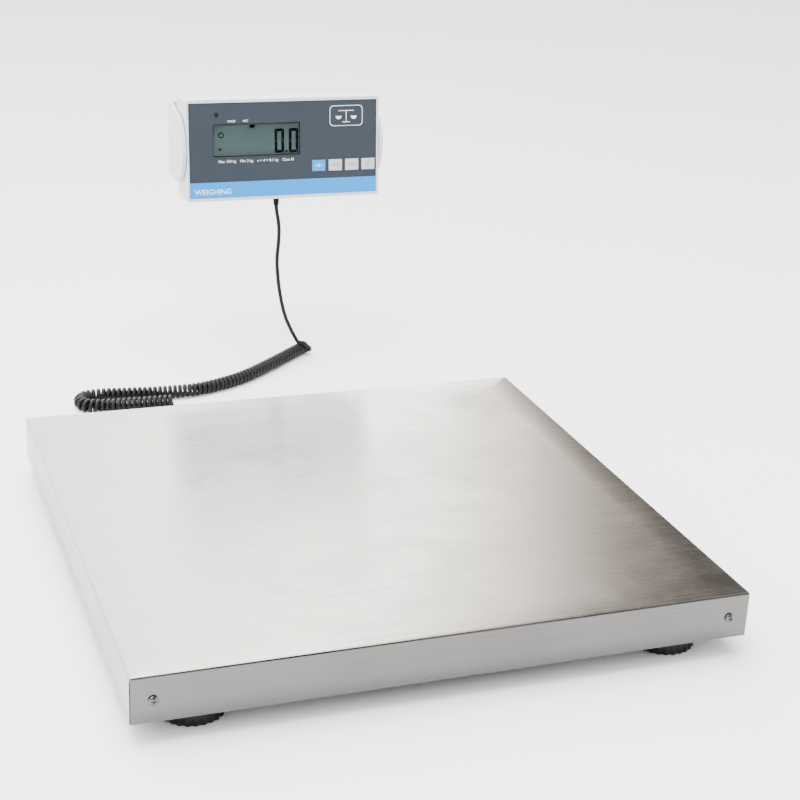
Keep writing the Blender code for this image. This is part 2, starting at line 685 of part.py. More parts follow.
def build_gland():
    """The cable gland in the rear skirt and the nut that holds it."""
    face = DECK_REAR + GAP
    bore = CORD_RADIUS + GAP
    flange = face + GLAND_FLANGE_DEPTH
    dome = flange + GLAND_DOME_DEPTH
    inner = DECK_REAR - SHEET - GLAND_INNER
    profile = (
        (bore, -inner), (GLAND_THREAD_RADIUS, -inner), (GLAND_THREAD_RADIUS, -face),
        (GLAND_FLANGE_RADIUS, -face), (GLAND_FLANGE_RADIUS, -flange),
        (GLAND_DOME_RADIUS, -flange - GAP), (GLAND_DOME_RADIUS, GLAND_CROWN_DEPTH - dome),
        (GLAND_CROWN_RADIUS, -dome), (bore, -dome),
    )
    place = Matrix.Translation((0, 0, GLAND_HEIGHT)) @ Matrix.Rotation(math.pi / 2, 4, "X")
    shape = bmesh.new()
    add_turned(shape, profile, place)
    add_mesh("cable_gland", shape, BLACK_PLASTIC)
    nut_face = DECK_REAR - SHEET - GAP
    nut = bmesh.new()
    add_rod(nut, (0, nut_face - GLAND_NUT_DEPTH, GLAND_HEIGHT), (0, nut_face, GLAND_HEIGHT),
            GLAND_NUT_RADIUS, sides=6)
    gland_nut = add_mesh("gland_nut", nut, BLACK_PLASTIC)
    hole = bmesh.new()
    add_rod(hole, (0, nut_face - 2 * GLAND_NUT_DEPTH, GLAND_HEIGHT),
            (0, nut_face + GAP, GLAND_HEIGHT), GLAND_THREAD_RADIUS + GAP)
    boolean(gland_nut, "DIFFERENCE", hole)


def build_cord():
    """The curly cord: a straight drop, the coiled length, and the lead to the gland."""
    tube("cord_drop", CORD_DROP, CORD_RADIUS, 0.006, BLACK_RUBBER)
    coil = [(x, y, COIL_AXIS_HEIGHT) for x, y in CORD_COIL]
    tube("cord_coil", coil, COIL_RADIUS, 0.009, BLACK_RUBBER, detail=3)
    tube("cord_lead", CORD_FLOOR, CORD_RADIUS, 0.006, BLACK_RUBBER)


# Wall bracket ------------------------------------------------------------------------------

def build_bracket():
    """A U of moulded plastic: a plate against the wall and two D-shaped ears with pins."""
    half = FACE_WIDTH / 2 + EAR_GAP + EAR_THICKNESS
    x_low, x_high = HEAD_X - half, HEAD_X + half
    y, z = HEAD_PIVOT.y, HEAD_PIVOT.z
    outline = (
        arc((y, z), EAR_RADIUS, 1.5 * math.pi, 0.5 * math.pi, ROUND_STEPS)
        + [(WALL_Y, z + EAR_REAR_RISE), (WALL_Y, z - EAR_RADIUS)]
    )
    shape = bmesh.new()
    add_prism(shape, outline, x_low, x_high, along_x)
    bracket = add_mesh("wall_bracket", shape, WHITE_PLASTIC)
    between = box(
        (x_low + EAR_THICKNESS, y - 2 * EAR_RADIUS, z - 2 * EAR_RADIUS),
        (x_high - EAR_THICKNESS, WALL_Y - PLATE_DEPTH, z + 2 * EAR_RADIUS))
    boolean(bracket, "DIFFERENCE", between)
    pins = bmesh.new()
    for side in (-1, 1):
        root = HEAD_X + side * (half - EAR_THICKNESS / 2)
        add_rod(pins, (root, y, z), (HEAD_X + side * (half - EAR_THICKNESS - PIN_LENGTH), y, z),
                PIN_RADIUS)
    boolean(bracket, "UNION", pins)
    keyholes = bmesh.new()
    for side in (-1, 1):
        x = HEAD_X + side * KEYHOLE_X
        low = z + KEYHOLE_RISE
        high = low + KEYSLOT_LENGTH
        meet = math.asin(KEYSLOT_RADIUS / KEYHOLE_RADIUS)
        keyhole = (
            arc((x, high), KEYSLOT_RADIUS, 0.0, math.pi, CORNER_STEPS * 2)
            + arc((x, low), KEYHOLE_RADIUS, math.pi / 2 + meet, 2.5 * math.pi - meet, ROUND_STEPS)
        )
        add_prism(keyholes, keyhole, WALL_Y - 2 * PLATE_DEPTH, WALL_Y + GAP, along_y)
    boolean(bracket, "DIFFERENCE", keyholes)


# Indicator ---------------------------------------------------------------------------------

def head_place(x, depth, z):
    """A place on the indicator, from the middle of its face, in the tilting head's own axes."""
    return Vector((x, FACE_Y + depth, FACE_Z + z))


def head_box(x, z, width, height, near, far):
    """Two corners of a box on the indicator, from depth near to depth far."""
    low = head_place(x - width / 2, near, z - height / 2)
    high = head_place(x + width / 2, far, z + height / 2)
    return low, high


def key_centres():
    """The X of each key's middle, from left to right."""
    return [KEY_FIRST_X + KEY_PITCH * index for index in range(len(KEY_NAMES))]


def add_face_openings(shape, near, far):
    """The display, key and lamp openings through the overlay or the front case."""
    add_box(shape, *head_box(*LCD_CENTRE, LCD_WIDTH, LCD_HEIGHT, near, far))
    for x in key_centres():
        add_box(shape, *head_box(x, KEY_Z, KEY_WIDTH + 2 * KEY_CLEARANCE,
                                 KEY_HEIGHT + 2 * KEY_CLEARANCE, near, far))
    add_rod(shape, head_place(LED_POSITION[0], near, LED_POSITION[1]),
            head_place(LED_POSITION[0], far, LED_POSITION[1]), LED_RADIUS + KEY_CLEARANCE)


def build_front_case(head):
    """The front shell, with a shallow recess for the overlay."""
    outline = rounded_rectangle(FACE_WIDTH, FACE_HEIGHT, CASE_CORNER, (0.0, FACE_Z))
    shape = bmesh.new()
    add_prism(shape, outline, FACE_Y, FACE_Y + CASE_SPLIT, along_y)
    case = add_mesh("indicator_front_case", shape, WHITE_PLASTIC, head)
    hollow = bmesh.new()
    add_box(hollow, *head_box(0, 0, FACE_WIDTH - 2 * CASE_WALL, FACE_HEIGHT - 2 * CASE_WALL,
                              CASE_FRONT_WALL, CASE_SPLIT + CASE_WALL))
    boolean(case, "DIFFERENCE", hollow)
    recess = bmesh.new()
    add_box(recess, *head_box(0, 0, OVERLAY_WIDTH + 2 * GAP, OVERLAY_HEIGHT + 2 * GAP,
                              -CASE_WALL, OVERLAY_RECESS + GAP))
    boolean(case, "DIFFERENCE", recess)
    openings = bmesh.new()
    add_face_openings(openings, 0.0, CASE_FRONT_WALL + GAP)
    boolean(case, "DIFFERENCE", openings)


def build_rear_case(head):
    """The rear shell, with the pivot holes, the battery opening and the cord's exit."""
    near, far = CASE_SPLIT + GAP, CASE_DEPTH
    half = FACE_HEIGHT / 2
    outline = [
        (near, -half), (far - CASE_REAR_EASE, -half), (far, -half + CASE_REAR_EASE),
        (far, half - CASE_CORNER), (far - CASE_CORNER, half), (near, half),
    ]
    shape = bmesh.new()
    add_prism(shape, [(FACE_Y + depth, FACE_Z + z) for depth, z in outline],
              -FACE_WIDTH / 2, FACE_WIDTH / 2, along_x)
    case = add_mesh("indicator_rear_case", shape, WHITE_PLASTIC, head)
    inner = [
        (near - CASE_WALL, -half + CASE_WALL), (far - CASE_REAR_EASE - CASE_WALL / 2, -half + CASE_WALL),
        (far - CASE_WALL, -half + CASE_REAR_EASE + CASE_WALL / 2), (far - CASE_WALL, half - CASE_WALL),
        (near - CASE_WALL, half - CASE_WALL),
    ]
    hollow = bmesh.new()
    add_prism(hollow, [(FACE_Y + depth, FACE_Z + z) for depth, z in inner],
              -FACE_WIDTH / 2 + CASE_WALL, FACE_WIDTH / 2 - CASE_WALL, along_x)
    boolean(case, "DIFFERENCE", hollow)
    holes = bmesh.new()
    for side in (-1, 1):
        add_rod(holes, (side * (FACE_WIDTH / 2 - 2 * CASE_WALL), 0, 0),
                (side * (FACE_WIDTH / 2 + GAP), 0, 0), PIN_RADIUS + PIN_CLEARANCE)
    add_rod(holes, head_place(RELIEF_X, RELIEF_DEPTH, -half - GAP),
            head_place(RELIEF_X, RELIEF_DEPTH, -half + 2 * CASE_WALL), RELIEF_NECK_RADIUS + GAP)
    add_box(holes, *head_box(0, PACK_Z, DOOR_WIDTH + 2 * GAP, DOOR_HEIGHT + 2 * GAP,
                             far - 2 * CASE_WALL, far + GAP))
    boolean(case, "DIFFERENCE", holes)


def build_face(head):
    """The printed overlay, the display behind its window, the lamp and the main board."""
    overlay = add_mesh("front_overlay", box(*head_box(
        0, 0, OVERLAY_WIDTH, OVERLAY_HEIGHT, OVERLAY_RECESS - OVERLAY_THICKNESS,
        OVERLAY_RECESS)), OVERLAY_GREY, head)
    openings = bmesh.new()
    add_face_openings(openings, -OVERLAY_THICKNESS, OVERLAY_RECESS + GAP)
    boolean(overlay, "DIFFERENCE", openings)
    margin = 2 * WINDOW_MARGIN
    near = CASE_FRONT_WALL + GAP
    far = near + WINDOW_THICKNESS
    add_mesh("display_window", box(*head_box(*LCD_CENTRE, LCD_WIDTH + margin, LCD_HEIGHT + margin,
                                             near, far)), CLEAR, head)
    add_mesh("lcd_panel", box(*head_box(*LCD_CENTRE, LCD_WIDTH + margin, LCD_HEIGHT + margin,
                                        far + GAP, far + GAP + LCD_GLASS_THICKNESS)),
             LCD_GREEN, head)
    lamp = bmesh.new()
    add_rod(lamp, head_place(LED_POSITION[0], OVERLAY_RECESS - OVERLAY_THICKNESS, LED_POSITION[1]),
            head_place(LED_POSITION[0], OVERLAY_RECESS + LED_LENGTH, LED_POSITION[1]), LED_RADIUS)
    add_mesh("status_lamp", lamp, BLACK_PLASTIC, head)
    add_mesh("main_board", box(*head_box(0, 0, MAIN_BOARD_WIDTH, MAIN_BOARD_HEIGHT,
                                         MAIN_BOARD_DEPTH, MAIN_BOARD_DEPTH + BOARD_THICKNESS)),
             BOARD_GREEN, head)


def build_keys(head):
    """Four keys, each held behind the case by its lip and moving straight in."""
    for index, (name, x) in enumerate(zip(KEY_NAMES, key_centres())):
        axis = bpy.data.objects.new(f"{name}_axis", None)
        bpy.context.scene.collection.objects.link(axis)
        axis.parent = head
        axis.location = head_place(x, 0, KEY_Z)
        front = OVERLAY_RECESS - OVERLAY_THICKNESS - KEY_PROUD
        lip = CASE_FRONT_WALL + GAP
        shape = box((-KEY_WIDTH / 2, front, -KEY_HEIGHT / 2), (KEY_WIDTH / 2, lip + GAP, KEY_HEIGHT / 2))
        face_edges = [e for e in shape.edges if all(v.co.y < front + GAP for v in e.verts)]
        bmesh.ops.bevel(shape, geom=face_edges, offset=KEY_PROUD / 2, segments=2, affect="EDGES")
        key = add_mesh(name, shape, KEY_BLUE if index == 0 else KEY_GREY, axis)
        half_width, half_height = KEY_WIDTH / 2 + KEY_LIP, KEY_HEIGHT / 2 + KEY_LIP
        boolean(key, "UNION", box((-half_width, lip, -half_height),
                                  (half_width, lip + KEY_LIP_THICKNESS, half_height)))


def build_power(head):
    """The battery pack behind its cover."""
    width, depth, height = PACK_SIZE
    add_mesh("battery_pack", box(*head_box(0, PACK_Z, width, height, PACK_DEPTH,
                                           PACK_DEPTH + depth)), BATTERY_WRAP, head)
    add_mesh("battery_cover", box(*head_box(0, PACK_Z, DOOR_WIDTH, DOOR_HEIGHT,
                                            CASE_DEPTH - DOOR_THICKNESS, CASE_DEPTH)),
             WHITE_PLASTIC, head)


def build_strain_relief(head):
    """The tapered strain relief under the case, held by a collar inside the wall."""
    top = head_place(RELIEF_X, RELIEF_DEPTH, -FACE_HEIGHT / 2)
    down = Vector((0, 0, -1))
    body = bmesh.new()
    add_rod(body, top + down * GAP, top + down * RELIEF_LENGTH, RELIEF_TOP_RADIUS, RELIEF_TIP_RADIUS)
    relief = add_mesh("cord_strain_relief", body, BLACK_RUBBER, head)
    neck = bmesh.new()
    add_rod(neck, top + down * 2 * GAP, top - down * (CASE_WALL + 2 * GAP), RELIEF_NECK_RADIUS)
    boolean(relief, "UNION", neck)
    collar = bmesh.new()
    base = top - down * (CASE_WALL + GAP)
    add_rod(collar, base, base - down * RELIEF_COLLAR_THICKNESS, RELIEF_COLLAR_RADIUS)
    boolean(relief, "UNION", collar)


def build_indicator():
    """The tilting head, whose pieces hang from an empty on its tilt axis."""
    head = bpy.data.objects.new("indicator_tilt_axis", None)
    bpy.context.scene.collection.objects.link(head)
    head.matrix_world = Matrix.Translation(HEAD_PIVOT) @ HEAD_TURN
    build_front_case(head)
    build_rear_case(head)
    build_face(head)
    build_keys(head)
    build_power(head)
    build_strain_relief(head)


clear_scene()
STAINLESS = material("brushed_stainless", (0.62, 0.60, 0.58), 0.32, 1.0)
STEEL = material("plain_steel", (0.50, 0.50, 0.51), 0.4, 1.0)
PAINTED = material("painted_frame", (0.10, 0.11, 0.12), 0.55)
ZINC = material("zinc_plated", (0.58, 0.58, 0.56), 0.35, 1.0)
ALUMINIUM = material("cell_aluminium", (0.72, 0.73, 0.75), 0.35, 1.0)
BLACK_PLASTIC = material("black_plastic", (0.015, 0.015, 0.017), 0.5)
BLACK_RUBBER = material("black_rubber", (0.02, 0.02, 0.022), 0.6)
WHITE_PLASTIC = material("off_white_plastic", (0.74, 0.76, 0.80), 0.42)
OVERLAY_GREY = material("overlay_film", (0.11, 0.13, 0.16), 0.4)
CLEAR = material("clear_window", (0.85, 0.88, 0.88), 0.08)
LCD_GREEN = material("lcd_grey_green", (0.12, 0.18, 0.18), 0.3)
BOARD_GREEN = material("circuit_board", (0.02, 0.14, 0.05), 0.5)
KEY_BLUE = material("key_blue", (0.08, 0.49, 0.91), 0.45)
KEY_GREY = material("key_light_grey", (0.68, 0.69, 0.70), 0.45)
BATTERY_WRAP = material("battery_wrap", (0.05, 0.16, 0.35), 0.45)

build_cover()
build_frame()
build_cover_screws()
for corner, corner_side, corner_y in CORNERS:
    build_load_cell(corner, corner_side, corner_y)
    build_cell_bolts(corner, corner_side, corner_y)
    build_foot(corner, corner_side * FOOT_X, corner_y)
build_cell_cables()
build_junction_box()
build_gland()
build_cord()
build_bracket()
build_indicator()
bpy.context.view_layer.update()
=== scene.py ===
"""Looks of a platform shipping scale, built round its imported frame.

The platform's folded cover, feet, screws and curly cord, and the wall-hung indicator with its
printed face, display and keys, are fine surfaces on the frame's own places. Lengths are in
metres, in the frame's axes: +X right, +Y towards the wall, +Z up.
"""

import json
import logging
import math
from collections.abc import Sequence
from dataclasses import dataclass
from enum import Enum

import bmesh
import bpy
import numpy as np
from mathutils import Matrix, Vector


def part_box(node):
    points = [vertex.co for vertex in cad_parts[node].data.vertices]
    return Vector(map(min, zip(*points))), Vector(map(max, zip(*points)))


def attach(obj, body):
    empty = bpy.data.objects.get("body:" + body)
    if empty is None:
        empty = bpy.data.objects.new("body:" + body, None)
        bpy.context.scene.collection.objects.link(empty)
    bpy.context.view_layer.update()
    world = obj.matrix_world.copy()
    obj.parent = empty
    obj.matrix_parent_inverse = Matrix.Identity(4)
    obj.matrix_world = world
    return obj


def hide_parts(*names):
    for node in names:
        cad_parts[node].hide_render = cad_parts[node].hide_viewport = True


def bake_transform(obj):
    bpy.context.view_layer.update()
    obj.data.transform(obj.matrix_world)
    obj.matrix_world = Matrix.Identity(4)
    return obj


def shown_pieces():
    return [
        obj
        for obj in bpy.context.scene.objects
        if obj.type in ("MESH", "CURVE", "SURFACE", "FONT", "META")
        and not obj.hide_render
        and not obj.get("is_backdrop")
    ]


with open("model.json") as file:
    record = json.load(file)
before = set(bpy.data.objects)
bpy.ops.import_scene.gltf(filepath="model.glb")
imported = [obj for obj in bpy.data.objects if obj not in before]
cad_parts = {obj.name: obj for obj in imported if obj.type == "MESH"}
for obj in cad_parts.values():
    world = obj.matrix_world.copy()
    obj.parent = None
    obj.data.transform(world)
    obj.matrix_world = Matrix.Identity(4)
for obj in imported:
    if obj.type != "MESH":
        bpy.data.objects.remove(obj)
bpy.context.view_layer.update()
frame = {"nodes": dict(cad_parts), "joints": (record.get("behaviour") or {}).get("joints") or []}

LOG = logging.getLogger("scale")
CORNERS = ("front_left", "front_right", "rear_left", "rear_right")
KEYS = ("key_zero", "key_tare", "key_unit", "key_power")
PLATFORM = "platform"
HEAD = "indicator_head"


# Meshes ------------------------------------------------------------------------------------

def make_object(name: str, points: np.ndarray, faces: Sequence, smooth: float = 40.0
                ) -> bpy.types.Object:
    """Make a mesh object from arrays and link it.

    Args:
        name: the piece's name.
        points: (n, 3) places in the row frame.
        faces: index rows, of three corners or more each.
        smooth: faces that meet at less than this many degrees shade as one surface.

    Returns:
        The new object, which sits at the origin.
    """
    mesh = bpy.data.meshes.new(name)
    mesh.from_pydata(np.asarray(points, float).tolist(), [], [tuple(map(int, f)) for f in faces])
    mesh.validate()
    mesh.shade_smooth()
    mesh.set_sharp_from_angle(angle=math.radians(smooth))
    made = bpy.data.objects.new(name, mesh)
    bpy.context.scene.collection.objects.link(made)
    return made


def grid_faces(rows: int, columns: int, around: bool = True, along: bool = False) -> np.ndarray:
    """Quads of a grid of rows x columns points.

    Args:
        rows: points along the first parameter.
        columns: points along the second parameter.
        around: join the last column to the first.
        along: join the last row to the first.

    Returns:
        (m, 4) indices, in one winding over the whole grid.
    """
    row = np.arange(rows if along else rows - 1)
    column = np.arange(columns if around else columns - 1)
    a, b = np.meshgrid(row, column, indexing="ij")
    a2, b2 = (a + 1) % rows, (b + 1) % columns
    quads = np.stack([a * columns + b, a * columns + b2, a2 * columns + b2, a2 * columns + b], -1)
    return quads.reshape(-1, 4)


def loft(name: str, rings: np.ndarray, closed: bool = False, smooth: float = 40.0
         ) -> bpy.types.Object:
    """A closed body through rings of equal count, capped at both ends or joined end to start.

    Args:
        name: the piece's name.
        rings: (r, n, 3) ring points.
        closed: the last ring joins the first, and there are no caps.
        smooth: shading angle in degrees.

    Returns:
        The object, with its faces outwards.
    """
    rows, columns = rings.shape[:2]
    faces = [tuple(f) for f in grid_faces(rows, columns, True, closed)]
    if not closed:
        faces.append(tuple(reversed(range(columns))))
        faces.append(tuple(range((rows - 1) * columns, rows * columns)))
    made = make_object(name, rings.reshape(-1, 3), faces, smooth)
    face_outwards(made, smooth)
    return made


def face_outwards(piece: bpy.types.Object, smooth: float = 40.0) -> None:
    """Turn every face of a closed piece outwards and keep its shading."""
    shape = bmesh.new()
    shape.from_mesh(piece.data)
    bmesh.ops.recalc_face_normals(shape, faces=shape.faces)
    shape.to_mesh(piece.data)
    shape.free()
    piece.data.shade_smooth()
    piece.data.set_sharp_from_angle(angle=math.radians(smooth))


def rounded_outline(width: float, height: float, radius: float, steps: int = 6) -> np.ndarray:
    """Outline of a rectangle with round corners: four quarter arcs joined by straight sides.

    Args:
        width: whole size along the first axis.
        height: whole size along the second axis.
        radius: of each corner.
        steps: spans in each corner.

    Returns:
        (n, 2) points, anticlockwise.
    """
    quarter = np.linspace(0, math.pi / 2, steps + 1)
    angles = (quarter[None, :] + np.arange(4)[:, None] * math.pi / 2).ravel()
    signs = np.repeat(np.array([(1, 1), (-1, 1), (-1, -1), (1, -1)]), steps + 1, axis=0)
    centres = signs * np.array([width / 2 - radius, height / 2 - radius])
    return centres + radius * np.stack([np.cos(angles), np.sin(angles)], -1)


def turned(profile: Sequence[tuple[float, float]], sides: int) -> np.ndarray:
    """Rings of a turned shape: each (radius, height) of the profile goes once round the axis."""
    angle = np.arange(sides) * 2 * math.pi / sides
    radius, height = np.asarray(profile, float).T
    ring = np.stack([np.cos(angle), np.sin(angle)], -1)
    flat = radius[:, None, None] * ring[None]
    return np.concatenate([flat, np.broadcast_to(height[:, None, None], flat.shape[:2] + (1,))], -1)


def placed(points: np.ndarray, matrix: Matrix) -> np.ndarray:
    """Points of any shape of array, moved by a 4x4 matrix."""
    turn = np.array(matrix)
    return points @ turn[:3, :3].T + turn[:3, 3]


def eased_copy(node: str, width: float, body: str, segments: int = 2, angle: float = 35.0
               ) -> bpy.types.Object:
    """A copy of a frame node with its loose triangles merged and its sharp edges rounded.

    Args:
        node: the node that the copy stands for.
        width: how far each rounding reaches from its edge.
        body: the body that the piece rides on.
        segments: spans over each rounding.
        angle: edges sharper than this, in degrees, are rounded.

    Returns:
        The new piece.
    """
    shape = bmesh.new()
    shape.from_mesh(frame["nodes"][node].data)
    bmesh.ops.remove_doubles(shape, verts=shape.verts, dist=2e-5)
    bmesh.ops.dissolve_limit(shape, angle_limit=math.radians(1), verts=shape.verts,
                             edges=shape.edges)
    sharp = [e for e in shape.edges
             if len(e.link_faces) == 2 and e.calc_face_angle(0.0) > math.radians(angle)]
    bmesh.ops.bevel(shape, geom=sharp, offset=width, segments=segments, profile=0.5,
                    affect="EDGES", clamp_overlap=True)
    bmesh.ops.recalc_face_normals(shape, faces=shape.faces)
    mesh = bpy.data.meshes.new(f"{node}_eased")
    shape.to_mesh(mesh)
    shape.free()
    mesh.shade_smooth()
    mesh.set_sharp_from_angle(angle=math.radians(angle))
    made = bpy.data.objects.new(f"{node}_eased", mesh)
    bpy.context.scene.collection.objects.link(made)
    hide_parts(node)
    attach(made, body)
    return made


def smooth_route(points: Sequence[Sequence[float]], step: float) -> np.ndarray:
    """Points about a step apart on a Catmull-Rom curve through chosen points.

    Each span is the cubic that passes both its points with slopes of half the chord between
    their neighbours.
    """
    chosen = np.asarray(points, float)
    ends = np.vstack([2 * chosen[0] - chosen[1], chosen, 2 * chosen[-1] - chosen[-2]])
    parts = []
    for before, start, end, after in zip(ends, ends[1:], ends[2:], ends[3:]):
        count = max(2, round(float(np.linalg.norm(end - start)) / step))
        t = (np.arange(count) / count)[:, None]
        parts.append(0.5 * (2 * start + (end - before) * t
                            + (2 * before - 5 * start + 4 * end - after) * t ** 2
                            + (3 * start - before - 3 * end + after) * t ** 3))
    return np.vstack([*parts, chosen[-1]])


def tube_rings(path: np.ndarray, radius: float, sides: int) -> np.ndarray:
    """Rings of a round tube along a path, each square to it and turned on from the one before."""
    tangent = np.gradient(path, axis=0)
    tangent /= np.linalg.norm(tangent, axis=1, keepdims=True)
    normal = np.cross(tangent[0], (0.3, 0.9, 0.2))
    normals = []
    for direction in tangent:
        normal = normal - direction * (normal @ direction)
        normal = normal / np.linalg.norm(normal)
        normals.append(normal)
    normals = np.array(normals)
    binormals = np.cross(tangent, normals)
    angle = np.arange(sides) * 2 * math.pi / sides
    return (path[:, None] + radius * (np.cos(angle)[None, :, None] * normals[:, None]
                                      + np.sin(angle)[None, :, None] * binormals[:, None]))


# Finishes ----------------------------------------------------------------------------------

class Axis(Enum):
    """The way that a metal's grain runs."""

    X = (6.0, 1.0, 1.0)
    Y = (1.0, 6.0, 1.0)
    Z = (1.0, 1.0, 6.0)


class Tree:
    """Builds one material's nodes, with short calls for the nodes that the finishes share."""

    def __init__(self, name: str) -> None:
        """Start a material with a Principled shader, read by Object coordinates."""
        self.material = bpy.data.materials.new(name)
        self.material.use_nodes = True
        self.nodes = self.material.node_tree.nodes
        self.links = self.material.node_tree.links
        self.shader = self.nodes["Principled BSDF"]
        self.place = self.nodes.new("ShaderNodeTexCoord").outputs["Object"]

    def set(self, **values: object) -> None:
        """Set sockets of the shader by name, with _ for a space."""
        for key, value in values.items():
            self.shader.inputs[key.replace("_", " ")].default_value = value

    def mapped(self, scale: Sequence[float], turn: Sequence[float] = (0, 0, 0),
               move: Sequence[float] = (0, 0, 0)) -> bpy.types.NodeSocket:
        """Object coordinates, moved, turned and scaled."""
        node = self.nodes.new("ShaderNodeMapping")
        node.inputs["Scale"].default_value = scale
        node.inputs["Rotation"].default_value = turn
        node.inputs["Location"].default_value = move
        self.links.new(self.place, node.inputs["Vector"])
        return node.outputs["Vector"]

    def noise(self, vector: bpy.types.NodeSocket, scale: float, detail: float = 3.0,
              rough: float = 0.55) -> bpy.types.NodeSocket:
        """A grey noise."""
        node = self.nodes.new("ShaderNodeTexNoise")
        node.inputs["Scale"].default_value = scale
        node.inputs["Detail"].default_value = detail
        node.inputs["Roughness"].default_value = rough
        self.links.new(vector, node.inputs["Vector"])
        return node.outputs["Fac"]

    def spread(self, value: bpy.types.NodeSocket, low: float, high: float, start: float = 0.3,
               end: float = 0.7) -> bpy.types.NodeSocket:
        """Map a value from start..end to low..high."""
        node = self.nodes.new("ShaderNodeMapRange")
        limits = {"From Min": start, "From Max": end, "To Min": low, "To Max": high}
        for key, number in limits.items():
            node.inputs[key].default_value = number
        self.links.new(value, node.inputs["Value"])
        return node.outputs["Result"]

    def mix(self, factor: bpy.types.NodeSocket, first: Sequence[float] | bpy.types.NodeSocket,
            second: Sequence[float] | bpy.types.NodeSocket) -> bpy.types.NodeSocket:
        """Mix two colours, each a colour or a socket."""
        node = self.nodes.new("ShaderNodeMix")
        node.data_type = "RGBA"
        self.links.new(factor, node.inputs[0])
        for socket, colour in ((node.inputs[6], first), (node.inputs[7], second)):
            if isinstance(colour, bpy.types.NodeSocket):
                self.links.new(colour, socket)
            else:
                socket.default_value = (*colour, 1.0)
        return node.outputs[2]

    def math(self, operation: str, first: bpy.types.NodeSocket,
             second: float | bpy.types.NodeSocket) -> bpy.types.NodeSocket:
        """A Math node of a socket and a number or another socket."""
        node = self.nodes.new("ShaderNodeMath")
        node.operation = operation
        self.links.new(first, node.inputs[0])
        if isinstance(second, bpy.types.NodeSocket):
            self.links.new(second, node.inputs[1])
        else:
            node.inputs[1].default_value = second
        return node.outputs[0]

    def part(self, vector: bpy.types.NodeSocket, axis: str) -> bpy.types.NodeSocket:
        """One axis of a vector."""
        node = self.nodes.new("ShaderNodeSeparateXYZ")
        self.links.new(vector, node.inputs[0])
        return node.outputs[axis]

    def colour(self, socket: bpy.types.NodeSocket) -> None:
        """Drive the base colour."""
        self.links.new(socket, self.shader.inputs["Base Color"])

    def roughness(self, socket: bpy.types.NodeSocket) -> None:
        """Drive the roughness."""
        self.links.new(socket, self.shader.inputs["Roughness"])

    def bump(self, height: bpy.types.NodeSocket, distance: float, strength: float = 1.0) -> None:
        """Drive the normal by a height."""
        node = self.nodes.new("ShaderNodeBump")
        node.inputs["Distance"].default_value = distance
        node.inputs["Strength"].default_value = strength
        self.links.new(height, node.inputs["Height"])
        self.links.new(node.outputs["Normal"], self.shader.inputs["Normal"])


@dataclass(frozen=True)
class Brushed:
    """Sheet or bar metal with a straight grain, faint smudges and a satin shine; faces marked in
    its shade map get a painted shade, a darker copy of its colour.
    """

    name: str
    colour: tuple[float, float, float]
    roughness: float
    grain: Axis
    depth: float = 2.0e-6
    lines: float = 950.0
    marks: float = 0.07
    across_map: str | None = None
    shade_map: str | None = None
    shade: float = 0.40

    def build(self) -> bpy.types.Material:
        """Make the material."""
        tree = Tree(self.name)
        tree.set(Metallic=1.0)
        if self.across_map:
            tangent = tree.nodes.new("ShaderNodeTangent")
            tangent.direction_type = "UV_MAP"
            tangent.uv_map = self.across_map
            tree.links.new(tangent.outputs["Tangent"], tree.shader.inputs["Tangent"])
            tree.set(Anisotropic=0.8)
        stretch = [self.lines / (160.0 if share > 1 else 1.0) for share in self.grain.value]
        fine = tree.noise(tree.mapped(stretch), 1.0, 2.0)
        streak = tree.noise(tree.mapped([s / 5 for s in stretch]), 1.0, 3.0, 0.6)
        smudge = tree.noise(tree.place, 9.0, 4.0, 0.62)
        dark = tuple(0.93 * c for c in self.colour)
        light = tuple(min(1.0, 1.04 * c) for c in self.colour)
        plain = tree.mix(tree.spread(streak, 0.0, 1.0), dark, light)
        # Painted shade: faces marked in the shade map take a darker copy of the colour in place of
        # real shade.
        if self.shade_map:
            shaded = tree.nodes.new("ShaderNodeAttribute")
            shaded.attribute_name = self.shade_map
            painted_shade_colour = tuple(self.shade * c for c in self.colour)
            plain = tree.mix(shaded.outputs["Fac"], plain, painted_shade_colour)
        tree.colour(plain)
        worn = tree.spread(smudge, -self.marks, self.marks)
        lined = tree.spread(fine, self.roughness - 0.04, self.roughness + 0.04)
        tree.roughness(tree.math("ADD", lined, worn))
        tree.bump(fine, self.depth)
        return tree.material


@dataclass(frozen=True)
class Moulded:
    """Moulded plastic or rubber: a fine spark-eroded texture and slight shade changes."""

    name: str
    colour: tuple[float, float, float]
    roughness: float
    texture: float = 1800.0
    depth: float = 6.0e-6
    shade: float = 0.05
    coat: float = 0.0
    shine: float = 0.5

    def build(self) -> bpy.types.Material:
        """Make the material."""
        tree = Tree(self.name)
        tree.set(Coat_Weight=self.coat, Coat_Roughness=0.15, Specular_IOR_Level=self.shine)
        cloud = tree.noise(tree.place, 22.0, 4.0)
        dark = tuple((1 - self.shade) * c for c in self.colour)
        light = tuple(min(1.0, (1 + self.shade) * c) for c in self.colour)
        tree.colour(tree.mix(tree.spread(cloud, 0.0, 1.0), dark, light))
        grain = tree.noise(tree.place, self.texture, 2.0)
        tree.roughness(tree.spread(grain, self.roughness - 0.05, self.roughness + 0.05))
        tree.bump(grain, self.depth)
        return tree.material


